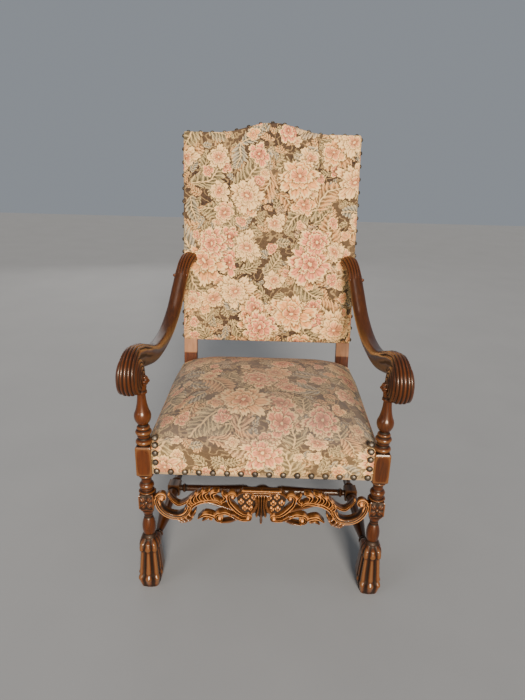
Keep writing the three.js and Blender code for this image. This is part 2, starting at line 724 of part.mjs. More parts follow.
function sideStretcher() {
  const length = SIDE_RUN.length();
  const middle = (MID_BLOCK_Y - STRETCHER_FRONT.y) / Math.cos(SIDE_ANGLE);
  const steps = [
    { z: 18, d: 17 }, { z: 22, d: 24 }, { z: 26, d: 18 }, { z: 102, d: 37, belly: 27 },
    { z: 114, d: 24, belly: 35 }, { z: middle - 32, d: 34, belly: 25 }, { z: middle - 26, d: 24 },
    { z: middle + 26, d: 24 }, { z: middle + 38, d: 24, belly: 33 }, { z: middle + 110, d: 23 },
    { z: middle + 180, d: 33, belly: 24 }, { z: middle + 192, d: 24, belly: 31 },
    { z: length - 60, d: 22 },
  ];
  return turnedBar(length, steps, [middle, length - 30])
    .rotate([-90, 0, 0])
    .rotate([0, 0, -THREE.MathUtils.radToDeg(SIDE_ANGLE)])
    .translate([STRETCHER_FRONT.x, STRETCHER_FRONT.y, STRETCHER_Z])
    .subtract(frontLeg().scale([1 + GAP / 15, 1, 1]).translate([LEG_X, GAP, 0]))
    .subtract(rearLeg().translate([0, -GAP, 0]));
}

function crossStretcher(length) {
  const middle = length / 2;
  const steps = [
    { z: 6, d: 18 }, { z: 12, d: 28 }, { z: 18, d: 20 }, { z: middle - 60, d: 34, belly: 24 },
    { z: middle - 46, d: 24, belly: 31 }, { z: middle - 20, d: 24 }, { z: middle, d: 38, belly: 35 },
    { z: middle + 20, d: 24, belly: 35 }, { z: middle + 46, d: 24 }, { z: middle + 60, d: 34, belly: 31 },
    { z: length - 18, d: 20, belly: 24 }, { z: length - 12, d: 28 }, { z: length - 6, d: 18 },
  ];
  return turnedBar(length, steps, []);
}

// ---------------------------------------------------------------- upholstery nails
function nail() {
  const head = new THREE.Path();
  head.moveTo(0, 0);
  head.lineTo(NAIL_DIAMETER / 2, 0);
  head.quadraticCurveTo(NAIL_DIAMETER / 2, NAIL_HEIGHT, 0, NAIL_HEIGHT);
  return new THREE.LatheGeometry(head.getPoints(2), 6).rotateX(Math.PI);
}

// ---------------------------------------------------------------- the chair
const chair = new THREE.Group();

function place(name, geometry, material, [x, y, z] = [0, 0, 0]) {
  const mesh = new THREE.Mesh(geometry, material);
  mesh.name = name;
  mesh.position.set(x, y, z);
  chair.add(mesh);
  return mesh;
}

const leg = frontLeg();
place('front_leg_right', geometryOf(leg), orangeWalnut, [LEG_X, 0, 0]);
place('front_leg_left', geometryOf(leg.mirror([1, 0, 0])), orangeWalnut, [-LEG_X, 0, 0]);

const arm = rightArm();
place('arm_right', geometryOf(arm), darkWalnut);
place('arm_left', geometryOf(arm.mirror([1, 0, 0])), darkWalnut);

const post = geometryOf(rearLeg());
place('rear_leg_right', post, orangeWalnut);
place('rear_leg_left', post, orangeWalnut, [-2 * POST_INNER - POST_WIDE, 0, 0]);

for (const [name, [low, high]] of Object.entries(SEAT_RAILS)) {
  place(name, box(low, high), beech);
}
place('back_rail_lower', geometryOf(leaned(lowerBackRail())), beech);
place('back_rail_top', geometryOf(leaned(topBackRail())), beech);
place('back_upholstery', backUpholstery(), tapestry);
place('outside_back', outsideBack(), tapestry);
place('seat_upholstery', seatUpholstery(), tapestry);
place('dust_cloth', dustCloth(), blackCloth);

place('stretcher_front', carvedStretcher(), goldenWalnut);
const bar = sideStretcher();
place('stretcher_right', geometryOf(bar), darkWalnut);
place('stretcher_left', geometryOf(bar.mirror([1, 0, 0])), darkWalnut);
const blockX = STRETCHER_FRONT.x + (MID_BLOCK_Y - STRETCHER_FRONT.y) * Math.tan(SIDE_ANGLE);
const crossHalf = blockX - MID_BLOCK / 2 / Math.cos(SIDE_ANGLE) - 1;
const cross = crossStretcher(2 * crossHalf).rotate([0, 90, 0]);
place('stretcher_cross', geometryOf(cross), darkWalnut, [-crossHalf, MID_BLOCK_Y, STRETCHER_Z]);

const nailHead = nail();
const nailFace = SEAT_FRONT - GAP;
for (let i = 0; i < NAIL_COUNT; i += 1) {
  const x = NAIL_EDGE * (2 * i / (NAIL_COUNT - 1) - 1);
  place(`nail_front_${i + 1}`, nailHead, agedBrass, [x, nailFace, NAIL_Z]);
}
for (const [name, side] of [['right', 1], ['left', -1]]) {
  for (let i = 1; i <= 2; i += 1) {
    place(`nail_side_${name}_${i}`, nailHead, agedBrass, [side * NAIL_EDGE, nailFace, NAIL_Z + 26 * i]);
  }
}

const bounds = new THREE.Box3().setFromObject(chair);
chair.position.set(0, -(bounds.min.y + bounds.max.y) / 2, -bounds.min.z);

export default chair;
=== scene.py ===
"""Dresses the carved throne armchair: carved and turned walnut, woven upholstery and domed nails.

Lengths are millimetres in the chair's own drawing, where y = 0 is the plane of the front leg axes,
and become metres in the frame when a mesh is made.
"""
import json
import math

import bmesh
import bpy
import numpy as np
from bpy.props import FloatProperty, FloatVectorProperty, IntProperty, PointerProperty
from mathutils import Matrix, Vector


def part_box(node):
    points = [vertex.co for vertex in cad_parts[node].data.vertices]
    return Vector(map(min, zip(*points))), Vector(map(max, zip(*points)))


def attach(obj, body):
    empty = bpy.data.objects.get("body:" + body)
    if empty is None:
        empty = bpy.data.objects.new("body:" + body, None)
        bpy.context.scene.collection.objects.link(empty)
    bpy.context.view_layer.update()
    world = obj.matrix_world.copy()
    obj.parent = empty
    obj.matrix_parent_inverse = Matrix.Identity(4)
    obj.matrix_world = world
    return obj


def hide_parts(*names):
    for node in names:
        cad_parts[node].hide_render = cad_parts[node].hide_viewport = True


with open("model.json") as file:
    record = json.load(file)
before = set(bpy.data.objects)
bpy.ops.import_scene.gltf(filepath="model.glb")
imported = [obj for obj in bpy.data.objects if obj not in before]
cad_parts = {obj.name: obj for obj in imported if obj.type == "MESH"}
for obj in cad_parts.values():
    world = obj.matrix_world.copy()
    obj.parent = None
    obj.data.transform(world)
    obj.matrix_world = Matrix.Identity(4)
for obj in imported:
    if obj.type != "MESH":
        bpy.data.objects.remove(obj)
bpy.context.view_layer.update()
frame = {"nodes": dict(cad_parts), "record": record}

bl_info = {
    "name": "Throne armchair",
    "version": (1, 0, 0),
    "blender": (4, 5, 0),
    "location": "3D View > Sidebar > Throne",
    "description": "Builds the carved, turned and upholstered pieces of a throne armchair",
    "category": "Add Mesh",
}

MOUNTS = {mount["name"]: mount["pos_m"] for mount in frame["record"]["mounts"]}
MM = 0.001
FOOT_AHEAD = 3                      # a front foot's mount lies this far in front of its leg's axis
LEG_X = MOUNTS["front_foot_right"][0] / MM
AXIS_Y = MOUNTS["front_foot_right"][1] + FOOT_AHEAD * MM

# -------- sizes of the chair, mm
GAP = 0.3
NECK_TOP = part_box("front_leg_right")[1][2] / MM
NECK = 21
SQUARE = (343, 427, 40.5)           # plain square of the front leg: low, high, side
ROSETTE = (233.5, 287, 42)          # carved square under it
ROSETTE_CENTRE = 262
TOES = 5
RAKE = math.radians(9.2)
BACK_FOOT = (584, 506)              # lower front edge of the back: depth, height
BACK_HALF = 294.5
BACK_SHOULDER = 696
BACK_APEX = 730
SHOULDER_WIDTH = 112
BACK_DEPTH = 34                     # face to the rear of the posts
SEAT_HALF = 299
SEAT_FRONT = -20
SEAT_REAR = 606
SEAT_EDGE = 424
SCROLL = np.array([321, -8, 613.5])
SCROLL_WIDE = 47
CREST_WIDE = 38
CARVED_FACE = -14
CARVED_REAR = 7
STRETCHER_Z = 122
STRETCHER_FRONT = np.array([286, 16])
STRETCHER_REAR = np.array([268, 604])
MID_BLOCK_Y = 256
NAIL_Z = 361
NAIL_EDGE = 267
NAIL_COUNT = 16
DIMPLE = (11, 1.4)                  # of the cover under a nail: radius, depth
TURNS_DOWN = 470                    # height where the seat's cover turns down its sides
TACKED = (400, 432)                 # the seat's cover is tacked below the first, free above the second
SOIL_AND_SHADE_HEIGHTS = (410, 465)                 # and dulled, by soiling and by painted shade, from the first height to the second
STAIN_STOPS = 46                    # how far under the back the stain of the posts stops


# -------- numbers
def eased(value, low, high):
    """0 below low, 1 above high, smooth between."""
    part = np.clip((np.asarray(value, float) - low) / (high - low), 0, 1)
    return part * part * (3 - 2 * part)


def hump(value, centre, width):
    return np.exp(-((value - centre) / width) ** 2)


def between(start, end, part):
    return start + (end - start) * part


def whole_turn(count):
    return np.linspace(0, 2 * math.pi, count, endpoint=False)


def ring(axis, level, turn, first, second, middle=(0, 0)):
    """Points round axis 0, 1 or 2 at a level of it, with the reaches given along the other two."""
    sides = [middle[0] + first * np.cos(turn), middle[1] + second * np.sin(turn)]
    sides.insert(axis, level + 0 * turn)
    return np.stack(sides, -1)


def line_through(points, count):
    """Points spaced evenly along a smooth line through the ones given."""
    points = np.asarray(points, float)
    ends = [2 * points[0] - points[1], *points, 2 * points[-1] - points[-2]]
    t = np.linspace(0, 1, 24, endpoint=False)[:, None]
    fine = []
    for before, start, end, after in zip(ends, ends[1:], ends[2:], ends[3:]):
        bend = 2 * before - 5 * start + 4 * end - after
        twist = 3 * start - before - 3 * end + after
        fine.append(start + 0.5 * ((end - before) * t + bend * t ** 2 + twist * t ** 3))
    fine = np.vstack([*fine, points[-1:]])
    length = np.r_[0, np.cumsum(np.linalg.norm(np.diff(fine, axis=0), axis=1))]
    at = np.linspace(0, length[-1], count)
    return np.stack([np.interp(at, length, column) for column in fine.T], 1)


def directions(line):
    along = np.gradient(line, axis=0)
    return along / np.linalg.norm(along, axis=1)[:, None]


# -------- shells
def skin(rings, sunk=None):
    """A closed body through rings of equal count: its points, its faces and how sunk each point is."""
    rings = np.asarray(rings, float)
    sunk = np.zeros(rings.shape[:2]) if sunk is None else np.asarray(sunk, float)
    rows, columns = rings.shape[:2]
    index = np.arange(rows * columns).reshape(rows, columns)
    low = index[:-1]
    high = index[1:]
    sides = np.stack([low, high, np.roll(high, -1, 1), np.roll(low, -1, 1)], -1).reshape(-1, 4)
    faces = sides.tolist() + [index[0].tolist(), index[-1][::-1].tolist()]
    return rings.reshape(-1, 3), faces, sunk.ravel()


def ball(centre, radii, lobes=0, depth=0.0, rows=14, columns=24):
    """An ellipsoid whose axis runs along x, with lobes round that axis."""
    polar = np.linspace(0.04, math.pi - 0.04, rows)[:, None]
    turn = whole_turn(columns)[None, :]
    swell = 1 - depth * (0.5 - 0.5 * np.cos(lobes * turn)) * np.sin(polar) ** 2
    wide, high = (radius * np.sin(polar) * swell for radius in radii[1:])
    return skin(ring(0, radii[0] * np.cos(polar), turn, wide, high) + np.asarray(centre, float))


def moved(shell, matrix):
    points, faces, sunk = shell
    return points @ np.array(matrix.to_3x3()).T + np.array(matrix.translation), faces, sunk


def placed(name, data):
    """A new object in the scene."""
    made = bpy.data.objects.new(name, data)
    bpy.context.scene.collection.objects.link(made)
    return made


def build(name, shells):
    """One object from closed shells drawn in millimetres."""
    vertices = np.vstack([shell[0] for shell in shells]) * MM
    vertices[:, 1] += AXIS_Y
    faces = []
    start = 0
    for points, sides, _ in shells:
        faces += [[corner + start for corner in side] for side in sides]
        start += len(points)
    mesh = bpy.data.meshes.new(name)
    mesh.from_pydata(vertices.tolist(), [], faces)
    work = bmesh.new()
    work.from_mesh(mesh)
    bmesh.ops.recalc_face_normals(work, faces=work.faces)
    work.to_mesh(mesh)
    work.free()
    # how sunk each point is: painted shade and stain where sunk, painted highlight and wear where raised
    sunk = mesh.attributes.new("hollow", "FLOAT", "POINT")
    sunk.data.foreach_set("value", np.concatenate([shell[2] for shell in shells]).astype(np.float32))
    return placed(name, mesh)


def settle(piece):
    """Turns a piece's modifiers into mesh."""
    depsgraph = bpy.context.evaluated_depsgraph_get()
    mesh = bpy.data.meshes.new_from_object(piece.evaluated_get(depsgraph))
    piece.modifiers.clear()
    old = piece.data
    piece.data = mesh
    bpy.data.meshes.remove(old)
    mesh.name = piece.name


def fuse(piece, grain):
    """Covers a body with even facets and eases the steps between them."""
    remesh = piece.modifiers.new("skin", "REMESH")
    remesh.mode = "VOXEL"
    remesh.voxel_size = grain
    smooth = piece.modifiers.new("ease", "SMOOTH")
    smooth.factor = 0.5
    smooth.iterations = 1
    settle(piece)


def points_of(mesh, what="co"):
    values = np.empty(len(mesh.vertices) * 3)
    mesh.vertices.foreach_get(what, values)
    return values.reshape(-1, 3)


def put_points(mesh, points):
    mesh.vertices.foreach_set("co", points.ravel())
    mesh.update()


def mirrored(piece, name):
    """The piece's reflection across the middle plane of the chair."""
    mesh = piece.data.copy()
    points = points_of(mesh)
    points[:, 0] *= -1
    put_points(mesh, points)
    mesh.flip_normals()
    return placed(name, mesh)


def softened_copy(node, name, width):
    """A copy of a plain solid with its edges rounded over."""
    piece = placed(name, frame["nodes"][node].data.copy())
    piece.data.materials.clear()
    work = bmesh.new()
    work.from_mesh(piece.data)
    bmesh.ops.remove_doubles(work, verts=work.verts, dist=1e-5)
    bmesh.ops.dissolve_limit(work, angle_limit=0.02, verts=work.verts, edges=work.edges)
    work.to_mesh(piece.data)
    work.free()
    piece.data.attributes.new("hollow", "FLOAT", "POINT")
    bevel = piece.modifiers.new("round", "BEVEL")
    bevel.width = width * MM
    bevel.segments = 3
    bevel.limit_method = "ANGLE"
    bevel.angle_limit = math.radians(25)
    settle(piece)
    return piece


def mark_hollows(mesh, passes, depth):
    """Adds how far each point lies under (+) or over (-) its surroundings to how sunk it was drawn; the wood
    takes painted shade and stain where sunk, a painted highlight and wear where raised.
    """
    points = points_of(mesh)
    ends = np.empty(len(mesh.edges) * 2, np.int32)
    mesh.edges.foreach_get("vertices", ends)
    a, b = ends.reshape(-1, 2).T
    count = len(points)
    share = 1 / np.maximum(np.bincount(a, minlength=count) + np.bincount(b, minlength=count), 1)
    level = points.copy()
    for _ in range(passes):
        level = np.stack([
            (np.bincount(a, column[b], count) + np.bincount(b, column[a], count)) * share
            for column in level.T
        ], 1)
    sunk = ((level - points) * points_of(mesh, "normal")).sum(1) / (depth * MM)
    drawn = np.empty(count, np.float32)
    mesh.attributes["hollow"].data.foreach_get("value", drawn)
    sunk = np.clip(np.clip(sunk - np.median(sunk), -1, 1) + drawn, -1, 1)
    mesh.attributes["hollow"].data.foreach_set("value", sunk.astype(np.float32))


def dress(piece, material, nodes, angle=40.0):
    """Gives a piece its material and its place in the frame."""
    piece.data.materials.clear()
    piece.data.materials.append(material)
    piece.data.shade_smooth()
    piece.data.set_sharp_from_angle(angle=math.radians(angle))
    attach(piece, "root")
    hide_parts(*nodes)


# -------- shader nodes
class Wire:
    """A node socket that can be used in sums; every sum adds its Math node."""

    def __init__(self, sheet, socket):
        self.sheet = sheet
        self.socket = socket

    def maths(self, operation, *values):
        return self.sheet.node("ShaderNodeMath", {"operation": operation}, dict(enumerate(values)))

    def __add__(self, other):
        return self.maths("ADD", self, other)

    def __radd__(self, other):
        return self.maths("ADD", other, self)

    def __sub__(self, other):
        return self.maths("SUBTRACT", self, other)

    def __rsub__(self, other):
        return self.maths("SUBTRACT", other, self)

    def __mul__(self, other):
        return self.maths("MULTIPLY", self, other)

    def __rmul__(self, other):
        return self.maths("MULTIPLY", other, self)

    def __truediv__(self, other):
        return self.maths("DIVIDE", self, other)

    def __pow__(self, other):
        return self.maths("POWER", self, other)

    def __gt__(self, other):
        return self.maths("GREATER_THAN", self, other)

    def of(self, operation):
        """One of the one-value functions, such as SINE, ABSOLUTE, FRACT or FLOOR."""
        return self.maths(operation, self)

    def part(self, low, high):
        """0 below low, 1 above high, smooth between; falls if low is the greater."""
        settings = {"interpolation_type": "SMOOTHSTEP"}
        inputs = {"Value": self, 1: low, 2: high, 3: 0.0, 4: 1.0}
        return self.sheet.node("ShaderNodeMapRange", settings, inputs)


class Sheet:
    """The node tree of one material."""

    def __init__(self, name, **constants):
        self.material = bpy.data.materials.new(name)
        self.material.use_nodes = True
        self.tree = self.material.node_tree
        self.shader = self.tree.nodes["Principled BSDF"]
        for socket, value in constants.items():
            self.shader.inputs[socket.replace("_", " ")].default_value = value

    def node(self, kind, settings=None, inputs=None, output=0):
        made = self.tree.nodes.new(kind)
        for key, value in (settings or {}).items():
            setattr(made, key, value)
        for key, value in (inputs or {}).items():
            self.feed(made.inputs[key], value)
        return Wire(self, made.outputs[output])

    def feed(self, socket, value):
        if isinstance(value, Wire):
            self.tree.links.new(value.socket, socket)
        elif socket.type == "RGBA":
            socket.default_value = (*value, 1)
        else:
            socket.default_value = value

    def finish(self, **inputs):
        for key, value in inputs.items():
            self.feed(self.shader.inputs[key.replace("_", " ")], value)
        return self.material

    def place(self):
        return self.node("ShaderNodeTexCoord", None, None, "Object")

    def attribute(self, name, output):
        return self.node("ShaderNodeAttribute", {"attribute_name": name}, None, output)

    def vector(self, operation, *values, output=0):
        return self.node("ShaderNodeVectorMath", {"operation": operation}, dict(enumerate(values)), output)

    def scaled(self, vector, scale):
        return self.vector("MULTIPLY", vector, scale)

    def noise(self, vector, scale, detail=3.0, rough=0.55, bent=0.0, output=0):
        inputs = {"Vector": vector, "Scale": scale, "Detail": detail, "Roughness": rough, "Distortion": bent}
        return self.node("ShaderNodeTexNoise", None, inputs, output)

    def grained(self, place, grain, detail, rough=0.55, bent=0.0):
        """Noise drawn out along a grain."""
        return self.noise(self.scaled(place, grain), 1.0, detail, rough, bent)

    def woven(self, across, up, thread):
        """Height of the threads that run each way."""
        return [(along * (math.pi / thread)).of("SINE").of("ABSOLUTE") for along in (across, up)]

    def mix(self, factor, first, second):
        return self.node("ShaderNodeMix", {"data_type": "RGBA"}, {0: factor, 6: first, 7: second}, 2)

    def bump(self, height, strength, distance):
        inputs = {"Height": height, "Strength": strength, "Distance": distance}
        return self.node("ShaderNodeBump", None, inputs)

    def split(self, vector):
        first = self.node("ShaderNodeSeparateXYZ", None, {0: vector})
        return [Wire(self, output) for output in first.socket.node.outputs]


# -------- settings
def colour(name, description, value):
    return FloatVectorProperty(
        name=name, description=description, default=value, size=3, min=0, max=1, subtype="COLOR")


class ThroneWood(bpy.types.PropertyGroup):
    orange: colour("Orange walnut", "Light tone of the legs' plain squares", (0.092, 0.0200, 0.0016))
    orange_deep: colour("Orange walnut, deep", "Dark streaks of the legs", (0.036, 0.0075, 0.0010))
    brown: colour("Arm walnut", "Light tone of the arms", (0.062, 0.0155, 0.0022))
    brown_deep: colour("Arm walnut, deep", "Dark streaks of the arms", (0.024, 0.0055, 0.0010))
    gold: colour("Carving walnut", "High points of the front stretcher", (0.175, 0.066, 0.017))
    gold_deep: colour("Carving walnut, deep", "Dark tone of the front stretcher", (0.055, 0.017, 0.0045))
    # ridge tone: wear, and a painted highlight on the raised carving
    wear_and_highlight: colour("Rubbed walnut", "Tone of ridges and edges rubbed by use", (0.22, 0.090, 0.026))
    # recess tone: old stain and wax, and painted shade in the hollows
    stain_and_shade: colour("Stain in the hollows", "Old stain and wax in the recesses", (0.0075, 0.0024, 0.0009))
    pale: colour("Bare wood", "Back posts above their stain line", (0.40, 0.185, 0.085))
    beech: colour("Rail beech", "Hidden rails", (0.45, 0.28, 0.13))


class ThroneFabric(bpy.types.PropertyGroup):
    ground: colour("Ground", "Ground of the woven cloth", (0.048, 0.027, 0.0160))
    rose: colour("Rose", "Dusty pink petals", (0.80, 0.26, 0.13))
    peach: colour("Peach", "Peach petals", (1.0, 0.41, 0.135))
    cream: colour("Cream", "Cream petals and outlines", (1.0, 0.63, 0.26))
    sage: colour("Sage", "Grey-green leaves", (0.23, 0.185, 0.085))
    blue: colour("Blue grey", "Blue-grey leaves", (0.21, 0.235, 0.205))
    # how far the top of the seat is dulled: soiling by use and painted shade
    soil_and_shade: FloatProperty(
        name="Soiling", description="How far the top of the seat is dulled by use", default=0.55,
        subtype="FACTOR", min=0, max=1)
    spread: FloatProperty(
        name="Pattern spread", description="How far apart the motifs of the cloth lie", default=1.0,
        subtype="FACTOR", min=0.5, max=2)


class ThroneMake(bpy.types.PropertyGroup):
    cloth_grain: FloatProperty(
        name="Cloth grain", description="Edge of a facet of the upholstery before it is divided",
        default=0.010, unit="LENGTH")
    puff: FloatProperty(
        name="Puff", description="Furthest that the stuffing may push the cover out", default=0.007,
        unit="LENGTH")
    cloth_steps: IntProperty(name="Cloth steps", description="Steps of the cloth simulation", default=20)


# -------- materials
def times(factor, values):
    return tuple(factor * value for value in values)


def toned(tone, share):
    """A tone made darker or lighter, at most white."""
    return tuple(min(1.0, value) for value in times(share, tone))


def walnut(name, light, deep, wear_and_highlight, stain_and_shade, grain, gloss, coat, wear_and_highlight_share):
    """Stained and waxed walnut: streaked along its grain, darkened in the hollows by old stain and painted
    shade, and lightened on the ridges by wear and a painted highlight.
    """
    sheet = Sheet(name, Coat_Roughness=0.14, Specular_IOR_Level=0.55, Specular_Tint=(1.0, 0.80, 0.60, 1.0))
    place = sheet.place()
    streaks = sheet.grained(place, grain, 6.0, 0.62, 1.4)
    figure = sheet.grained(place, times(0.22, grain), 2.0, 0.5, 0.8)
    pores = sheet.grained(place, times(6, grain), 2.0)
    hollow = sheet.attribute("hollow", "Fac")
    sunk = hollow.part(0.10, 0.75)
    proud = (0.0 - hollow).part(0.10, 0.85)
    tone = streaks.part(0.34, 0.66) * 0.6 + figure.part(0.35, 0.65) * 0.4
    base = sheet.mix(tone, deep, light)
    base = sheet.mix(pores.part(0.60, 0.70) * 0.35, base, stain_and_shade)
    # raised points take the ridge tone: wear and a painted highlight
    base = sheet.mix(proud * wear_and_highlight_share, base, wear_and_highlight)
    # sunk points take the recess tone: old stain and painted shade
    base = sheet.mix(sunk * 0.95, base, stain_and_shade)
    # handling marks, in the roughness only
    handling_and_shade = sheet.noise(place, 26.0, 4.0, 0.6)
    rough = gloss + (handling_and_shade - 0.5) * 0.2 + sunk * 0.3
    height = streaks * 0.4 + pores * 0.6
    return sheet.finish(
        Base_Color=base,
        Roughness=rough,
        Coat_Weight=(1 - sunk * 0.85) * coat,
        Normal=sheet.bump(height, 0.12, 0.0012),
    )


def post_walnut(name, wood):
    """The back posts: pale where the finish stops, with a level edge to the stain below it, and painted shade
    that darkens the 60 mm under that edge.
    """
    sheet = Sheet(name, Coat_Weight=0.2, Coat_Roughness=0.2)
    place = sheet.place()
    streaks = sheet.grained(place, (70, 70, 5), 6.0, 0.6, 1.2)
    height = sheet.split(place)[2]
    edge = (BACK_FOOT[1] - STAIN_STOPS) * MM
    stained = (height + (streaks - 0.5) * 0.002).part(edge + 0.003, edge - 0.003)
    tone = streaks.part(0.3, 0.7)
    pale = sheet.mix(tone, toned(wood.pale, 0.72), wood.pale)
    dark = sheet.mix(tone, wood.orange_deep, toned(wood.orange, 1.5))
    # painted shade: darker downwards over 60 mm below the stain line, under the seat
    handling_and_shade = height.part(edge, edge - 0.06)
    base = sheet.mix(stained, pale, dark)
    base = sheet.mix(handling_and_shade * 0.6, base, wood.brown_deep)
    return sheet.finish(
        Base_Color=base,
        Roughness=0.40 + (streaks - 0.5) * 0.3,
        Normal=sheet.bump(streaks, 0.15, 0.001),
    )


def beech(name, wood):
    sheet = Sheet(name)
    place = sheet.place()
    streaks = sheet.grained(place, (9, 60, 60), 5.0, 0.6, 0.6)
    base = sheet.mix(streaks, toned(wood.beech, 0.6), wood.beech)
    return sheet.finish(
        Base_Color=base,
        Roughness=0.62 + streaks * 0.1,
        Normal=sheet.bump(streaks, 0.2, 0.001),
    )


def strewn(sheet, cloth, spacing, shift, share):
    """Motifs strewn over the cloth: the place in the nearest one, its own tones and whether it is there."""
    spread = sheet.vector("ADD", cloth, shift)
    settings = {"voronoi_dimensions": "2D", "feature": "F1"}
    inputs = {"Vector": spread, "Scale": 1 / spacing, "Randomness": 0.75}
    cells = sheet.node("ShaderNodeTexVoronoi", settings, inputs).socket.node
    centre = Wire(sheet, cells.outputs["Position"])
    tones = sheet.split(Wire(sheet, cells.outputs["Color"]))
    across, up = sheet.split(sheet.vector("SUBTRACT", spread, centre))[:2]
    return across, up, tones, tones[2] > share


FULL_TURN = 6.283
RUFFLES = 25.13      # four ruffles to a petal
STROKES = 18.85      # three strokes to a petal


def lay_flower(sheet, below, cloth, spacing, radius, shift, share, layers, fabric):
    """Lays flowers of several rings of irregular petals over what is below them."""
    rose = fabric.rose
    across, up, tones, missing = strewn(sheet, cloth, spacing, shift, share)
    size = radius * (0.82 + tones[1] * 0.36)
    squeeze = 1 + (tones[0] - 0.5) * 0.5
    reach = (across * across * squeeze + up * up) ** 0.5 / size + missing * 9
    turn = up.maths("ARCTAN2", up, across) * (0.5 / math.pi)
    pinkness = tones[0].part(0.46, 0.70)
    warmth = tones[1].part(0.4, 0.6)
    light = sheet.mix(warmth, fabric.cream, fabric.peach)
    light = sheet.mix(pinkness, light, toned(rose, 1.25))
    deep = sheet.mix(pinkness, toned(fabric.peach, 0.60), toned(rose, 0.52))
    for step, (count, share_out) in enumerate(layers):
        if step == len(layers) - 1:
            light = sheet.mix(0.55, light, toned(rose, 1.2))
            deep = sheet.mix(0.6, deep, toned(rose, 0.6))
        petal = turn * count + tones[1] * 7.0 + 0.37 * step
        cleft = (petal.of("FRACT") - 0.5).of("ABSOLUTE") * 2
        index = petal.maths("FLOORED_MODULO", petal.of("FLOOR"), count)
        seed = sheet.node("ShaderNodeCombineXYZ", None, {0: index, 1: tones[2] + step})
        own = sheet.node("ShaderNodeTexWhiteNoise", {"noise_dimensions": "2D"}, {"Vector": seed})
        rounded = (1 - cleft * cleft * 0.97) ** 0.5
        ruffle = (petal * RUFFLES).of("SINE") * 0.05
        outline = share_out * (0.50 + 0.50 * rounded + ruffle) * (0.70 + 0.42 * own)
        out = reach / outline
        below = sheet.mix(out.part(1.20, 1.02) * 0.75, below, toned(fabric.ground, 0.5))
        strokes = (petal * STROKES + own * 9).of("SINE").part(-0.2, 0.8)
        fill = sheet.mix(out.part(0.30, 0.75) * (1 - strokes * 0.7), deep, light)
        fill = sheet.mix(cleft.part(0.72, 0.94) * 0.85, fill, toned(fabric.ground, 0.9))
        fill = sheet.mix(out.part(0.82, 0.88), fill, fabric.cream)
        below = sheet.mix(out.part(1.02, 0.98), below, fill)
    heart = sheet.mix((reach * 40).of("SINE").part(-0.3, 0.6), toned(rose, 0.5), fabric.cream)
    return sheet.mix(reach.part(0.13, 0.10), below, heart)


def lay_leaf(sheet, below, cloth, spacing, length, shift, share, lobes, fabric):
    """Lays feathery leaves with light ribs over what is below them."""
    across, up, tones, missing = strewn(sheet, cloth, spacing, shift, share)
    turn = tones[0] * FULL_TURN
    cosine = turn.of("COSINE")
    sine = turn.of("SINE")
    along = (across * cosine + up * sine) / length
    bend = along * along * (tones[1] - 0.5) * 2.2
    aside = ((up * cosine - across * sine) / length + bend).of("ABSOLUTE")
    body = along.maths("MAXIMUM", 1 - along * along * 4, 0.0) ** 0.7
    phase = along * lobes - aside * (lobes * 0.8)
    lobe = (phase * math.pi).of("SINE").of("ABSOLUTE")
    edge = aside / (body * (0.10 + 0.20 * lobe ** 0.7) + 0.0005) + missing * 9
    below = sheet.mix(edge.part(1.35, 1.05) * 0.7, below, toned(fabric.ground, 0.45))
    tint = sheet.mix(tones[1].part(0.36, 0.44), fabric.sage, fabric.blue)
    tint = sheet.mix(tones[1].part(0.62, 0.70), tint, toned(fabric.peach, 0.62))
    fill = sheet.mix(edge.part(0.0, 0.6), toned(fabric.sage, 0.45), tint)
    fill = sheet.mix(lobe.part(0.72, 0.20) * 0.9, fill, toned(fabric.ground, 1.1))
    fill = sheet.mix(lobe.part(0.86, 0.98) * 0.8, fill, sheet.mix(0.62, tint, fabric.cream))
    fill = sheet.mix(edge.part(0.80, 0.92) * 0.9, fill, sheet.mix(0.55, tint, fabric.cream))
    fill = sheet.mix(aside.part(0.022, 0.010) * 0.9, fill, toned(fabric.cream, 0.9))
    return sheet.mix(edge.part(1.04, 0.97), below, fill)


THREAD = 0.0011
LEAVES = (   # spacing, length, shift, share of places that hold one, lobes
    (0.034, 0.033, 0.11, 0.55, 4),
    (0.046, 0.046, 0.31, 0.70, 5),
    (0.080, 0.086, 0.47, 0.66, 7),
    (0.125, 0.135, 0.83, 0.60, 9),
)
FLOWERS = (   # spacing, radius, shift, share of places that hold one, rings of petals: count and reach
    (0.052, 0.021, 0.13, 0.45, ((5, 1.0), (4, 0.5))),
    (0.096, 0.041, 0.29, 0.52, ((7, 1.0), (5, 0.62))),
    (0.165, 0.068, 0.61, 0.60, ((10, 1.0), (7, 0.74), (5, 0.44))),
)
# grey-brown tone of the seat's top: soiling and painted shade
SOIL_AND_SHADE_TONE = (0.19, 0.148, 0.122)
BACK_CUT = 0.37      # where on the bolt of cloth the cover of the back begins, in metres


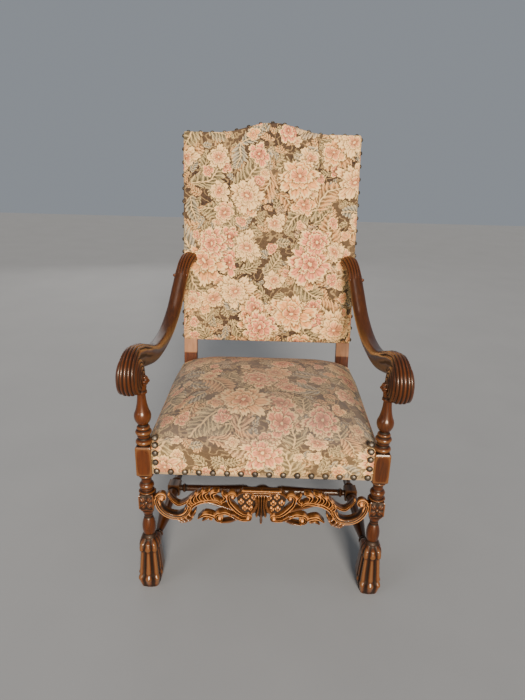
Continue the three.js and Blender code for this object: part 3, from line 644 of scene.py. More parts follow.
def tapestry(name, fabric, soiled_and_shaded=0.0):
    """Woven floral cloth: peonies and small blossoms over feathery leaves and tendrils on a brown ground."""
    sheet = Sheet(name, Sheen_Weight=0.05, Sheen_Roughness=0.6, Specular_IOR_Level=0.15)
    flat = sheet.attribute("cloth", "Vector")
    stepped = sheet.vector("SNAP", flat, (THREAD, THREAD, THREAD))
    drift = sheet.vector("SUBTRACT", sheet.noise(stepped, 26.0, 3.0, output=1), (0.5, 0.5, 0.5))
    cloth = sheet.vector("ADD", stepped, sheet.scaled(drift, (0.028, 0.028, 0)))
    patch = sheet.noise(stepped, 120.0, 3.0).part(0.42, 0.60)
    colour = sheet.mix(patch * 0.7, fabric.ground, toned(fabric.ground, 1.9))
    tendril = (sheet.noise(cloth, 30.0, 1.5) - 0.5).of("ABSOLUTE").part(0.034, 0.016)
    colour = sheet.mix(tendril * 0.6, colour, toned(fabric.cream, 0.5))
    for spacing, size, shift, share, form in LEAVES:
        shifts = (shift, 0.7 * shift, 0)
        colour = lay_leaf(sheet, colour, cloth, spacing * fabric.spread, size, shifts, share, form, fabric)
    for spacing, size, shift, share, form in FLOWERS:
        shifts = (shift, 1.3 * shift, 0)
        colour = lay_flower(sheet, colour, cloth, spacing * fabric.spread, size, shifts, share, form, fabric)
    faded = sheet.noise(flat, 5.0, 3.0)
    pale = toned(fabric.cream, 0.9)
    colour = sheet.mix(faded.part(0.35, 0.75) * 0.12, colour, pale)
    across, up = sheet.split(flat)[:2]
    if soiled_and_shaded:
        top = sheet.split(sheet.place())[2].part(SOIL_AND_SHADE_HEIGHTS[0] * MM, SOIL_AND_SHADE_HEIGHTS[1] * MM)
        patchy_soil_and_shade = sheet.noise(flat, 9.0, 3.0).part(0.2, 0.7) * 0.5 + 0.5
        # painted light: the seat's front, below its top, is lightened towards cream
        colour = sheet.mix((1 - top) * 0.08, colour, pale)
        # the top of the seat is dulled, patchily: soiling by use and painted shade
        colour = sheet.mix(top * patchy_soil_and_shade * soiled_and_shaded, colour, SOIL_AND_SHADE_TONE)
    warp, weft = sheet.woven(across, up, THREAD)
    speck = sheet.noise(stepped, 900.0, 1.0)
    shade = (1 - weft) * 0.20 + speck.part(0.5, 0.75) * 0.18
    colour = sheet.mix(shade, colour, toned(fabric.ground, 0.8))
    height = warp * 0.5 + weft * 0.5 + sheet.noise(flat, 400.0, 2.0) * 0.5
    return sheet.finish(
        Base_Color=colour,
        Roughness=0.86 + speck * 0.1,
        Normal=sheet.bump(height, 0.30, 0.0006),
    )


def plain_cloth(name, tint, thread, sheen):
    sheet = Sheet(name, Sheen_Weight=sheen, Specular_IOR_Level=0.2)
    place = sheet.place()
    across, deep, up = sheet.split(place)
    warp, weft = sheet.woven(across, up + deep, thread)
    slub = sheet.grained(place, (40, 40, 900), 4.0)
    cross = sheet.grained(place, (900, 900, 40), 4.0)
    wear_and_highlight = sheet.noise(place, 6.0, 4.0)
    weave = warp * 0.5 + weft * 0.5
    # painted shade between the threads: the weave's crowns are lighter
    tone = weave * 0.2
    for uneven, share in ((slub, 0.3), (cross, 0.3), (wear_and_highlight, 0.2)):
        tone = tone + uneven.part(0.35, 0.65) * share
    return sheet.finish(
        Base_Color=sheet.mix(tone, toned(tint, 0.6), toned(tint, 1.2)),
        Roughness=0.85 + slub * 0.1,
        Normal=sheet.bump(weave, 0.4, 0.0006),
    )


def aged_brass():
    sheet = Sheet("nail_brass", Coat_Weight=0.15, Coat_Roughness=0.3)
    place = sheet.place()
    tarnish = sheet.noise(place, 90.0, 4.0, 0.6)
    hammered = sheet.noise(place, 420.0, 2.0)
    base = sheet.mix(tarnish.part(0.4, 0.62), (0.20, 0.155, 0.105), (0.055, 0.042, 0.032))
    return sheet.finish(
        Base_Color=base,
        Metallic=0.92 - tarnish.part(0.5, 0.7) * 0.3,
        Roughness=0.34 + tarnish * 0.22,
        Normal=sheet.bump(hammered, 0.25, 0.001),
    )


def walnut_for(kind):
    """The finish of one kind of wood, made when it is first asked for."""
    finish = "waxed_" + kind
    if finish in bpy.data.materials:
        return bpy.data.materials[finish]
    wood = bpy.context.scene.throne_wood
    if kind == "post_walnut":
        return post_walnut(finish, wood)
    if kind == "rail_beech":
        return beech(finish, wood)
    brown = (wood.brown, wood.brown_deep)
    tones = {   # light, deep, ridge tone of wear and painted highlight, recess tone of stain and painted shade
        "leg_walnut": (wood.orange, wood.orange_deep, toned(wood.wear_and_highlight, 0.85), wood.stain_and_shade),
        "arm_walnut": (*brown, wood.orange, toned(wood.stain_and_shade, 1.7)),
        # the carving's ridge tone is lightened far past wear: a painted highlight
        "carving_walnut": (wood.gold, wood.gold_deep, toned(wood.wear_and_highlight, 3.6), wood.stain_and_shade),
        "turned_walnut": (*brown, toned(wood.wear_and_highlight, 0.5), wood.stain_and_shade),
    }
    make = {   # grain, gloss, coat, share of the ridge tone of wear and painted highlight
        "leg_walnut": ((130, 130, 9), 0.30, 0.25, 0.6),
        "arm_walnut": ((130, 26, 30), 0.31, 0.2, 0.8),
        "carving_walnut": ((9, 130, 130), 0.26, 0.5, 1.0),
        "turned_walnut": ((130, 9, 130), 0.32, 0.22, 0.8),
    }
    return walnut(finish, *tones[kind], *make[kind])


# -------- turning
def turned_profile(start, steps):
    """Heights and radii of a turned bar. A step ends at (z, d); with a belly, the way there is an arc."""
    heights = [start[0]]
    radii = [start[1] / 2]
    for z, d, *belly in steps:
        z0 = heights[-1]
        r0 = radii[-1]
        if belly:
            control = belly[0] - (2 * r0 + d) / 4
            t = np.linspace(0, 1, 25)[1:]
            heights += list(between(z0, z, t))
            radii += list((1 - t) ** 2 * r0 + 2 * t * (1 - t) * control + t ** 2 * d / 2)
        else:
            heights.append(max(z, z0 + 0.05))
            radii.append(d / 2)
    return np.array(heights), np.array(radii)


UPPER_TURNING = [
    (430, 35), (443, 33, 42), (444.5, 29.5), (449, 29, 27), (450, 32.5), (455, 33), (456, 32),
    (470, 32, 41), (471, 30.5), (479, 30, 33), (485, 24, 23), (521, 35, 42), (563, NECK, 25),
    (NECK_TOP, NECK),
]
LOWER_TURNING = [
    (155, 30, 38), (156, 28.5), (207, 24, 35.5), (214, 23, 21), (224, 28, 23), (230, 32), (286, 38),
    (287.5, 33), (293, 30, 43), (294.5, 30.5), (300, 31, 33), (316, 29, 38.5), (317, 27.5),
    (332, 28, 26), (334, 33), (340, 36, 38), (345, 36),
]


def square_reach(turn, half, power):
    """Distance to the edge of a rounded square, in each direction."""
    return half / (np.abs(np.cos(turn)) ** power + np.abs(np.sin(turn)) ** power) ** (1 / power)


def drawn_in(z, low, high, depth, rise):
    """How far a block is drawn in at its lower and upper edges."""
    return depth * (1 - eased(z, low, low + rise)) + depth * (1 - eased(-z, -high, -high + rise))


def rosette(u, v):
    """Height of the carved rosette over its sunk ground: four veined leaves set crosswise round a bead."""
    away = np.hypot(u, v)
    angle = np.arctan2(v, u)
    leaf = np.abs(np.sin(2 * angle)) ** 1.3
    height = 5.0 * leaf * hump(away, 11.5, 9)
    height -= 2.6 * hump(np.abs(np.abs(u) - np.abs(v)), 0, 1.2) * eased(away, 4, 7)
    height -= 0.7 * (0.5 + 0.5 * np.cos(away * 2.2)) * leaf
    small = np.abs(np.cos(2 * angle)) ** 6
    height += 1.8 * small * hump(away, 9, 3.5)
    return np.where(away < 4.6, 4.4 * np.sqrt(np.clip(1 - (away / 5.2) ** 2, 0, 1)), height)


FOOT = np.array([   # height, width, reach in front, reach behind
    (0, 51, 34, 32), (4, 53, 35.5, 34), (18, 59, 41, 38), (27, 61, 43.5, 40), (34, 61.5, 44, 40),
    (45, 59, 41, 39), (60, 57, 38, 38), (88, 52, 33, 36), (112, 47, 28.5, 31), (118, 46, 27, 30),
])
FLUTES = np.array([   # height, depth of the flutes between the toes
    (0, 1.0), (8, 3.0), (18, 5.5), (34, 7.2), (60, 7.4), (100, 6.4), (118, 5.0),
])
COLLAR = np.array([   # the same for the petals over it
    (112, 52, 33, 31), (118, 54.5, 34.5, 32), (126, 54, 34, 31), (136, 50, 30, 28), (143, 42, 22, 21),
    (149, 31, 16, 15.5), (160, 30, 15, 15),
])
CLEFTS = np.array([(112, 5.6), (136, 5.2), (146, 2.0), (150, 0)])   # height, depth between the petals


def foot_reach(turn, z, table):
    """Reach of the foot's rounded plan, squarer behind than in front."""
    wide, front, rear = (np.interp(z, table[:, 0], column) for column in table[:, 1:].T)
    deep = np.where(np.sin(turn) < 0, front, rear)
    power = between(3.6, 8, eased(np.sin(turn), -0.5, 0.1))
    across = np.abs(np.cos(turn)) / (wide / 2)
    along = np.abs(np.sin(turn)) / deep
    return 1 / (across ** power + along ** power) ** (1 / power)


def carved_foot(turn, z):
    """Reach of the foot, with reeds that swell into toes under a collar of petals, and how sunk it is drawn,
    which paints shade between the reeds, between the petals and under the petals' tips.
    """
    facing = eased(-np.sin(turn), -0.12, 0.12)
    lobe = np.abs(np.sin(TOES * turn))
    ridge = 1 - lobe ** 1.1
    reach = foot_reach(turn, z, FOOT)
    flute = np.interp(z, *FLUTES.T)
    toes = facing * (reach - flute * ridge + 2.4 * hump(z, 31, 6) * lobe - 1.4 * hump(z, 43, 4) * lobe)
    shaft = toes + (1 - facing) * reach
    cleft = 1 - lobe ** 0.8
    collar = foot_reach(turn, z, COLLAR) - np.interp(z, *CLEFTS.T) * cleft * facing
    tip = 114.0 + 7.5 * (1 - lobe ** 0.6) * facing
    covered = eased(z, tip - 1.0, tip + 1.6)
    sunk = between(0.9 * ridge, cleft, covered) * facing + 0.8 * hump(z, tip - 3, 2.2) * facing
    return between(shaft, collar, covered), sunk


def leg_rings():
    """The front leg round its own axis: carved foot, rosette square, plain square and turnings."""
    stops = (0, 160, 232, 289, 345, 425, NECK_TOP)
    rows = (120, 45, 56, 60, 18, 110)
    z = [np.linspace(low, high, count) for low, high, count in zip(stops, stops[1:], rows)]
    low, high, side = SQUARE
    edges = np.array([low, high, *ROSETTE[:2]])
    z = np.unique(np.r_[(*z, edges - 0.05, edges + 0.05, low + 2, low + 4, high - 2, high - 4)])[:, None]
    turn = whole_turn(136)[None, :]
    upper = turned_profile((425, 35), UPPER_TURNING)
    lower = turned_profile((142, 32), LOWER_TURNING)
    round_reach = np.where(z > 400, np.interp(z, *upper), np.interp(z, *lower))
    foot, sunk = carved_foot(turn, z)
    reach = np.where(z < 150, np.maximum(foot, np.where(z > 146, round_reach, 0)), round_reach + 0 * turn)
    # painted shade at the top of the collar, and darker towards the floor at the base of the foot
    sunk = np.where(z < 148, sunk, 0) + hump(z, 151, 2) + 0.6 * (1 - eased(z, 4, 16))
    square = square_reach(turn, side / 2 - drawn_in(z, low, high, 2.2, 4), 26)
    reach = np.where((z > low) & (z < high), np.maximum(reach, square), reach)
    # painted shade in the creases at the plain square's lower and upper edges
    sunk = sunk + sum(hump(z, edge, 1.6) for edge in (low - 0.5, high + 0.5))
    low, high, side = ROSETTE
    inset = 6 * (1 - eased(z, low - 2, low + 13)) + 3 * (1 - eased(-z, -high, -high + 6))
    block = square_reach(turn, side / 2 - 0.6 - inset, 14)
    aslant = np.mod(turn + math.pi / 4, math.pi / 2) - math.pi / 4
    u = block * np.sin(aslant)
    margin = (1 - eased(np.abs(u), 17.0, 19.0)) * eased(z, low + 3, low + 9) * eased(-z, -high, -high + 5)
    relief = (rosette(u, z - ROSETTE_CENTRE) - 3.8) * margin
    block = block + relief * np.cos(aslant) ** 2
    inside = (z > low) & (z < high)
    reach = np.where(inside, block, reach)
    # painted shade in the rosette's sunk ground and along the creases at the block's edges
    sunk = sunk + np.where(inside, 1.1 * eased(-relief, 1.0, 3.2), 0)
    sunk = sunk + hump(z, low, 1.6) + hump(z, high, 1.6)
    return ring(2, z, turn, reach, reach), sunk


def bar_shell(profile, blocks=(), side=38):
    """A turned bar along its own z, square round each block height."""
    heights, radii = profile
    half = side / 2
    edges = np.array([block + offset for block in blocks for offset in (-half, 3 - half, half - 3, half)])
    z = np.unique(np.r_[np.arange(heights[0], heights[-1], 2.0), heights, edges, edges + 0.05, edges - 0.05])
    z = z[(z >= heights[0]) & (z <= heights[-1])][:, None]
    turn = whole_turn(38)[None, :]
    reach = np.interp(z, heights, radii) + 0 * turn
    for block in blocks:
        square = square_reach(turn, half - drawn_in(z, block - half, block + half, 2, 3), 26)
        reach = np.where(np.abs(z - block) < half, square, reach)
    return skin(ring(2, z, turn, reach, reach))


# -------- arms
ARM_LINE = [
    (264, 616, 794), (273, 594, 790), (281, 558, 768), (288, 505, 717), (298, 437, 648), (308, 340, 604),
    (314, 225, 602), (316, 130, 632), (316, 70, 655),
]
ARM_WIDE = 44
ARM_DEEP = 33
THROAT = 27          # how much deeper the arm grows below, towards its scroll
REEDS = 5


def arm_section(centre, across, outward, wide, deep, under, crown, side):
    """A round-cornered section of the arm, deeper by under on its lower side, and how sunk its points are.

    crown(u) is the carving over its outer side and side(v) that on its flanks, in mm over the plain form.
    """
    turn = whole_turn(104)
    x = np.cos(turn)
    n = np.sin(turn)
    flat = np.where(n > 0, np.abs(n) ** 0.92, np.abs(n) ** 0.8)
    along = np.sign(x) * np.abs(x) ** 0.9
    over = crown(along) * eased(n, -0.05, 0.3)
    beside = side(np.sign(n) * flat) * eased(np.abs(x), 0.55, 0.85)
    wide_at = along * (wide / 2) + np.sign(x) * (beside + over * np.abs(along) ** 3)
    high_at = np.sign(n) * flat * (deep / 2 + under * (n < 0)) + over * np.clip(n, 0, 1) ** 0.5
    section = centre + np.outer(wide_at, across) + np.outer(high_at, outward)
    # how sunk: painted shade in the reeds' grooves, a painted highlight and wear on their crests
    return section, np.clip(-(over + beside) / 5.5, -0.5, 1)


def reeds(u, depth, count=REEDS):
    """Rounded reeds with narrow grooves between them."""
    return -depth * (1 - np.abs(np.sin(math.pi * count * (u + 1) / 2)) ** 0.75)


def arm_rings():
    """The arm from the back post, down and forward, then round into its scroll."""
    steps = 200
    line = line_through(ARM_LINE, steps)
    along = directions(line)
    sideways = np.array([1.0, 0, 0])
    rings = []
    for i in range(steps):
        t = i / steps
        across = sideways - along[i] * along[i][0]
        across /= np.linalg.norm(across)
        outward = np.cross(along[i], across)
        tip = float(eased(t, 0, 0.1))
        wide = between(49, between(ARM_WIDE, CREST_WIDE, float(eased(t, 0.7, 1))), tip)
        deep = between(32, ARM_DEEP, tip)
        under = THROAT * float(eased(t, 0.5, 0.95))

        def crown(u, t=t):
            """Leaves over the knuckle and reeds that rise towards the scroll."""
            lobe = np.abs(np.sin(math.pi * REEDS * (u + 1) / 2))
            end = 0.125 + 0.04 * lobe ** 0.7
            inside = 1 - eased(t, end - 0.005, end + 0.004)
            leaf = (1.2 + reeds(u, 4.0)) * inside
            leaf = leaf - 0.8 * hump(np.mod(t * 70 + 1.5 * np.abs(u), 1), 0.5, 0.2) * inside
            start = 0.76 + 0.12 * np.abs(u) ** 1.5
            return leaf + reeds(u, 3.4) * eased(t, start, start + 0.10)

        def side(v, t=t):
            return reeds(v, 2.2, 3) * (eased(t, 0.84, 0.96) + 1 - eased(t, 0.10, 0.15))

        rings.append(arm_section(line[i], across, outward, wide, deep, under, crown, side))
    scroll_steps = 190
    for i in range(scroll_steps + 1):
        t = i / scroll_steps
        angle = math.radians(between(70, 400, t))
        outward = np.array([0, math.cos(angle), math.sin(angle)])
        spread = float(eased(angle, math.radians(70), math.radians(170)))
        wide = between(CREST_WIDE, SCROLL_WIDE, spread)
        deep = between(32, 16, t ** 1.5)
        middle = SCROLL - (SCROLL_WIDE - wide) / 2 * sideways
        radius = between(76, 27, t ** 0.8) - deep / 2
        under = THROAT * (1 - float(eased(t, 0, 0.12)))

        def crown(u, t=t):
            teeth = 1.5 * np.abs(np.sin(t * 130)) * eased(u, 0.7, 0.95) * (1 - eased(t, 0.14, 0.22))
            return reeds(u, 3.4) + teeth

        def side(v, t=t):
            return reeds(v, 2.4, 3) * (1 - eased(t, 0.7, 0.85))

        place = middle + outward * radius
        rings.append(arm_section(place, sideways, outward, wide, deep, under, crown, side))
    return skin([section for section, _ in rings], [sunk for _, sunk in rings])


def scroll_core():
    """The stepped and ridged sides of the scroll, round its eye."""
    radius = np.r_[3, np.linspace(6, 43, 60)]
    ridge = np.abs(np.sin(math.pi * (radius - 7) / 9.2)) ** 0.8
    step = np.interp(radius, [6, 14, 16, 29, 43], [7.5, 6.5, 4.5, 2.0, -2.5])
    half = SCROLL_WIDE / 2 + step + 2.8 * ridge
    turn = whole_turn(96)
    rings = []
    sunk = []
    for side in (-1, 1):
        order = slice(None, None, -side)
        for r, x, depth in zip(radius[order], half[order], 1 - ridge[order]):
            rings.append(ring(0, side * x, turn, r, r) + SCROLL)
            # painted shade in the valleys between the ridges of the scroll's sides
            sunk.append(0.9 * depth + 0 * turn)
    return skin(rings, sunk)


def arm_shells():
    turn = whole_turn(40)
    neck = [
        (NECK_TOP + GAP, 12, 12), (NECK_TOP + 3, 14.5, 14.5), (NECK_TOP + 7, 14.5, 14.5),
        (NECK_TOP + 9, 12.5, 13), (NECK_TOP + 16, 13.5, 16), (SCROLL[2] - 10, 13, 16),
    ]
    bracket = [ring(2, z, turn, wide, deep, (LEG_X, 0)) for z, wide, deep in neck]
    eye = SCROLL + np.array([-33, 0, -8])
    shells = [arm_rings(), scroll_core(), skin(bracket), ball(eye, (10, 13, 13), 6, 0.35, 20, 60)]
    shells.append(ball(eye - np.array([8, 0, 0]), (4.5, 4.5, 4.5)))
    for side in (-1, 1):
        shells.append(ball((286 + 20 * side, 528, 748), (5.5, 5.5, 5.5)))
    tenon = [ring(1, y, turn, 12, 12, (266, 288)) for y in (-16, 7)]
    shells.append(moved(skin(tenon), leaned_matrix()))
    return shells


# -------- carved front stretcher
def band_profile(kind, u):
    """Height of a round, hollow or double band over its width, 1 at its ridges, and how sunk it is drawn,
    which paints shade into its grooves and at the foot of its sides.
    """
    edge = np.clip(1 - np.abs(u) ** 6, 0, 1) ** 0.45
    if kind == "round":
        height = np.sqrt(np.clip(1 - 0.92 * u ** 2, 0, 1))
        groove = np.abs(u) ** 3
    elif kind == "hollow":
        height = edge * (0.62 + 0.38 * np.abs(u) ** 1.5 + 0.30 * hump(u, 0, 0.16))
        groove = hump(np.abs(u), 0.38, 0.2)
    else:
        height = edge * (0.72 - 0.28 * np.cos(2 * math.pi * u))
        groove = hump(u, 0, 0.22)
    wall = hump(np.abs(u), 1, 0.10)
    return height, np.clip(groove * 0.9 + wall, 0, 1)


def carved_band(path, widths, profile="round", lift=0.0, arch=0.0):
    """A carved band along a smooth path (x, z). Its widths run from start to middle to end."""
    length = sum(math.dist(a, b) for a, b in zip(path, path[1:]))
    steps = max(12, int(length / 1.8))
    line = line_through(path, steps)
    along = directions(line)
    t = np.linspace(0, 1, steps)
    first, second, third = widths
    early = between(first, second, eased(t, 0, 0.5))
    late = between(second, third, eased(t, 0.5, 1))
    width = np.where(t < 0.5, early, late)
    ends = np.clip(np.minimum(t, 1 - t) * length / np.maximum(width * 0.4, 1), 0, 1)
    half = width / 2 * np.sqrt(np.clip(1 - (1 - ends) ** 2, 0.02, 1))
    u = np.linspace(-1, 1, 21)
    height, groove = band_profile(profile, u)
    thick = CARVED_REAR - CARVED_FACE + lift + arch * np.sin(math.pi * t) + 2.0 * (ends - 1)
    rear = CARVED_REAR - 0.4 * abs(math.sin(path[0][0] + 1.7 * path[0][1]))
    normal = np.stack([-along[:, 1], along[:, 0]], 1)
    x = line[:, :1] + np.outer(half, u) * normal[:, :1]
    z = line[:, 1:] + np.outer(half, u) * normal[:, 1:]
    front = np.stack([x, rear - np.outer(thick, 0.40 + 0.60 * height), z], -1)
    back = np.stack([x, np.full_like(x, rear), z], -1)[:, ::-1][:, 1:-1]
    # painted shade: the grooves and all the rear of the band take the recess tone
    sunk = np.concatenate([np.tile(groove, (steps, 1)), np.ones((steps, len(u) - 2))], 1)
    return skin(np.concatenate([front, back], 1), sunk)


def spiral(centre, radius, start, sweep, eye=0.3):
    t = np.linspace(0, 1, 12)
    angle = np.radians(start + sweep * t)
    reach = radius * (1 - (1 - eye) * t)
    return [(centre[0] + r * math.cos(a), centre[1] + r * math.sin(a)) for r, a in zip(reach, angle)]


def bead(place, radius, rise=3.0):
    centre = (place[0], CARVED_FACE + 5, place[1])
    return ball(centre, (radius, rise + 5, radius), rows=12, columns=20)


def blossom(place, radius):
    """A small four-petalled flower of the cartouche's lattice, facing forward."""
    turn = whole_turn(32)
    petal = np.abs(np.cos(2 * turn)) ** 0.7
    rings = []
    sunk = []
    for part, rise in ((1.0, 0), (1.0, 3.5), (0.86, 6.2), (0.62, 7.2), (0.40, 5.6), (0.26, 7.8), (0.05, 8.4)):
        reach = radius * part * (1 - 0.38 * (1 - petal) * min(1, 1.6 * part))
        rings.append(ring(1, CARVED_FACE + 9.5 - rise, turn, reach, reach, place))
        # painted shade on the ground ring, the ring round the heart and the clefts between petals
        sunk.append((1.0 if rise < 1 or part == 0.40 else 0.0) + 0.8 * (1 - petal) * (part > 0.3))
    return skin(rings, sunk)


def plate(outline, front):
    x, z = np.array(outline, float).T
    rings = [np.stack([x, 0 * x + y, z], 1) for y in (front, CARVED_REAR - 0.5)]
    # painted shade: a plate is drawn sunk through and through, so it always takes the full recess tone
    return skin(rings, 3 * np.ones((2, len(x))))


OUTER_EYE = (260, 273)
LOWER_EYE = (109, 217)
UPPER_EYE = (75, 285)
INNER_EYE = (34, 220)


def outer_scroll():
    sweep = [(274, 262), (266, 240), (248, 222), (226, 215), (204, 220), (191, 238), (186, 262)]
    curl = spiral(OUTER_EYE, 12.5, -20, 330)[::-1]
    inner = [(266, 256), (256, 238), (240, 227), (222, 224), (206, 231), (198, 246)]
    return [
        carved_band([*curl, *sweep], (7, 19, 10), "hollow"),
        carved_band(inner, (5, 6, 4), "round", 1.5),
        bead(OUTER_EYE, 5),
        carved_band([(281, 262), (270, 266), (262, 268)], (34, 28, 20), "round", -3),
        carved_band([(244, 286), (230, 266), (217, 256), (200, 262), (184, 276)], (6, 9, 9), "double", 1),
    ]


STEM = [(189, 236), (178, 254), (160, 266), (139, 271), (118, 273), (103, 263)]
LEAF_LOBES = [
    [(182, 250), (190, 262), (184, 280)],
    [(172, 258), (180, 274), (171, 291)],
    [(156, 266), (165, 284), (153, 299)],
    [(139, 270), (149, 290), (134, 302)],
    [(122, 272), (128, 292), (110, 300)],
]
SKIRT_LOBES = [
    [(222, 211), (208, 202), (198, 208)],
    [(212, 214), (200, 204), (188, 212)],
    [(202, 218), (190, 208), (178, 220)],
    [(192, 226), (182, 222), (172, 238)],
]


def acanthus():
    shells = [carved_band(STEM, (10, 13, 9), "double", 2.5)]
    shells += [carved_band(lobe, (11, 15, 6), "double", 0.5, arch=3.0) for lobe in LEAF_LOBES]
    shells += [carved_band(lobe, (8, 11, 5), "round", -1, arch=2.5) for lobe in SKIRT_LOBES]
    vein = [(152, 268), (132, 264), (112, 257), (92, 251), (72, 244)]
    shells.append(carved_band(vein, (8, 10, 8), "round", 0.5))
    shells.append(carved_band([(106, 266), (94, 280), (104, 295)], (10, 13, 6), "double", 0, arch=2.0))
    return shells


def lower_scroll():
    curl = spiral(LOWER_EYE, 15, 100, -330)[::-1]
    fingers = [
        [(86, 232), (70, 230), (58, 222)],
        [(80, 226), (66, 219), (52, 214)],
    ]
    shells = [
        carved_band([*curl, (92, 233), (72, 225), (54, 215), (34, 213)], (6, 12, 9), "double", 0.5),
        bead(LOWER_EYE, 5),
        carved_band([(121, 219), (136, 226), (150, 226), (168, 213)], (14, 13, 3), "double", 0, arch=2.0),
        carved_band([(128, 210), (142, 214), (156, 206)], (8, 9, 3), "round", -1, arch=1.5),
        carved_band([(108, 203), (84, 206), (62, 216)], (5, 9, 8), "round"),
    ]
    return shells + [carved_band(finger, (7, 8, 3), "round", 1, arch=1.5) for finger in fingers]


def diagonal_scroll():
    upper = spiral(UPPER_EYE, 12, -10, 300)[::-1]
    lower = spiral(INNER_EYE, 11, 60, 300)
    return [
        carved_band([*upper, (82, 264), (64, 242), (50, 232), *lower], (5, 15, 5), "double", 1),
        bead(UPPER_EYE, 4.5),
        bead(INNER_EYE, 4.5),
    ]


def cartouche():
    edge = [(66, 286), (55, 296), (38, 300), (24, 294), (12, 278), (12, 256), (20, 240), (32, 232)]
    ground = [(66, 286), (38, 300), (8, 296), (8, 236), (34, 226), (58, 244)]
    shells = [plate(ground, CARVED_FACE + 9), carved_band(edge, (6, 7, 6), "round", 1)]
    places = ((40, 286), (53, 269), (31, 267), (19, 283), (43, 250), (26, 248))
    return shells + [blossom(place, 7.8) for place in places]


def shell_middle():
    """Half of the shell: a moulded bar over ribs that spread downwards, the middle one reaching lowest."""
    shells = [
        carved_band([(-4, 300), (25, 300), (52, 300)], (8, 8, 8), "hollow"),
        carved_band([(-4, 294), (10, 294), (24, 294)], (6, 6, 6), "round", 2),
        plate([(-1, 296), (18, 296), (13, 262), (22, 238), (-1, 214)], CARVED_FACE + 10),
    ]
    for top, waist, foot, low in ((0, 0, 0, 205), (7.5, 6.5, 12, 226), (15, 14, 26, 237)):
        shells.append(carved_band([(top, 294), (waist, 262), (foot, low)], (6, 5.5, 8), "round", 4, arch=2.5))
    return shells


def stretcher_shells():
    half = [*outer_scroll(), *acanthus(), *lower_scroll(), *diagonal_scroll(), *cartouche(), *shell_middle()]
    other = [(points * np.array([-1.0, 1, 1]), faces, sunk) for points, faces, sunk in half]
    return half + other


# -------- upholstery
SEAT_POINTS = 240
SEAT_RINGS = np.array([   # inset, height, squareness
    (6, 350, 24), (1, 352, 24), (0, 360, 24), (0, 424, 24), (3, 440, 14), (12, 457, 9), (28, 474, 7),
    (55, 488, 5), (95, 498, 4), (150, 504, 3.2), (220, 506, 2.6), (285, 506.5, 2.2),
])


def seat_shell():
    middle = (SEAT_FRONT + SEAT_REAR) / 2
    deep = (SEAT_REAR - SEAT_FRONT) / 2
    rows = np.linspace(0, len(SEAT_RINGS) - 1, 56)
    inset, height, power = (
        np.interp(rows, range(len(SEAT_RINGS)), column)[:, None] for column in SEAT_RINGS.T)
    turn = (np.arange(SEAT_POINTS) + 0.5)[None, :] * 2 * math.pi / SEAT_POINTS
    reach = square_reach(turn, 1.0, power)
    rings = ring(2, height, turn, (SEAT_HALF - inset) * reach, (deep - inset) * reach, (0, middle))
    high = rings[..., 2] > SEAT_EDGE
    corner = eased(np.abs(rings[..., 0]), 170, SEAT_HALF)
    fall = (0.7 + 0.24 * corner) * eased(rings[..., 1], 350, 640)
    rings[..., 2] = np.where(high, SEAT_EDGE + (rings[..., 2] - SEAT_EDGE) * (1 - fall), rings[..., 2])
    return skin(rings)


def back_top(x):
    part = np.minimum(np.abs(x) / (BACK_HALF - SHOULDER_WIDTH), 1)
    return BACK_SHOULDER + (BACK_APEX - BACK_SHOULDER) * (1 + np.cos(math.pi * part)) / 2


def back_outline():
    """The outline of the back in its own upright plane, as points (x, z)."""
    top = np.linspace(BACK_HALF, -BACK_HALF, 64)
    rise = np.linspace(0, BACK_SHOULDER, 77)
    foot = np.linspace(-BACK_HALF, BACK_HALF, 60)
    right = np.stack([BACK_HALF + 0 * rise, rise], 1)
    over = np.stack([top, back_top(top)], 1)
    left = right[::-1] * np.array([-1, 1])
    under = np.stack([foot, 0 * foot], 1)
    return np.vstack([right[:-1], over[:-1], left[:-1], under[:-1]])


def leaned_matrix():
    return Matrix.Translation((0, BACK_FOOT[0], BACK_FOOT[1])) @ Matrix.Rotation(-RAKE, 4, "X")


def back_shell():
    steps = [
        (3, BACK_DEPTH - 1), (1, BACK_DEPTH - 2), (0.5, 8), (1.2, 3.2), (3.5, 0.8), (8, -0.6), (20, -2.0),
        (40, -3.6), (78, -6.5), (115, -9.5), (175, -12.5), (240, -13.5),
    ]
    middle = BACK_SHOULDER / 2
    outline = back_outline()
    rings = []
    for inset, y in steps:
        x = outline[:, 0] * (1 - inset / BACK_HALF)
        z = middle + (outline[:, 1] - middle) * (1 - inset / middle)
        rings.append(np.stack([x, y + 0 * x, z], 1))
    return moved(skin(rings), leaned_matrix())


def puffed(piece, cap, held):
    """Swells a padded piece with a cloth simulation. held(points) gives 1 where the cover is tacked."""
    make = bpy.context.scene.throne_make
    before = points_of(piece.data)
    group = piece.vertex_groups.new(name="tacked")
    for index, weight in enumerate(held(before)):
        group.add([index], float(weight), "REPLACE")
    cloth = piece.modifiers.new("cover", "CLOTH")
    cloth.settings.use_pressure = True
    cloth.settings.uniform_pressure_force = 4
    cloth.settings.effector_weights.gravity = 0
    cloth.settings.vertex_group_mass = "tacked"
    cloth.settings.quality = 5
    cloth.point_cache.frame_start = 1
    cloth.point_cache.frame_end = make.cloth_steps
    for step in range(1, make.cloth_steps + 1):
        bpy.context.scene.frame_set(step)
    depsgraph = bpy.context.evaluated_depsgraph_get()
    swollen = points_of(bpy.data.meshes.new_from_object(piece.evaluated_get(depsgraph)))
    piece.modifiers.clear()
    piece.vertex_groups.clear()
    shift = swollen - before
    far = np.linalg.norm(shift, axis=1)[:, None]
    put_points(piece.data, before + shift * np.minimum(1, cap / np.maximum(far, 1e-9)))
    bpy.context.scene.frame_set(1)


def divide(piece):
    finer = piece.modifiers.new("finer", "SUBSURF")
    finer.levels = 1
    finer.render_levels = 1
    settle(piece)


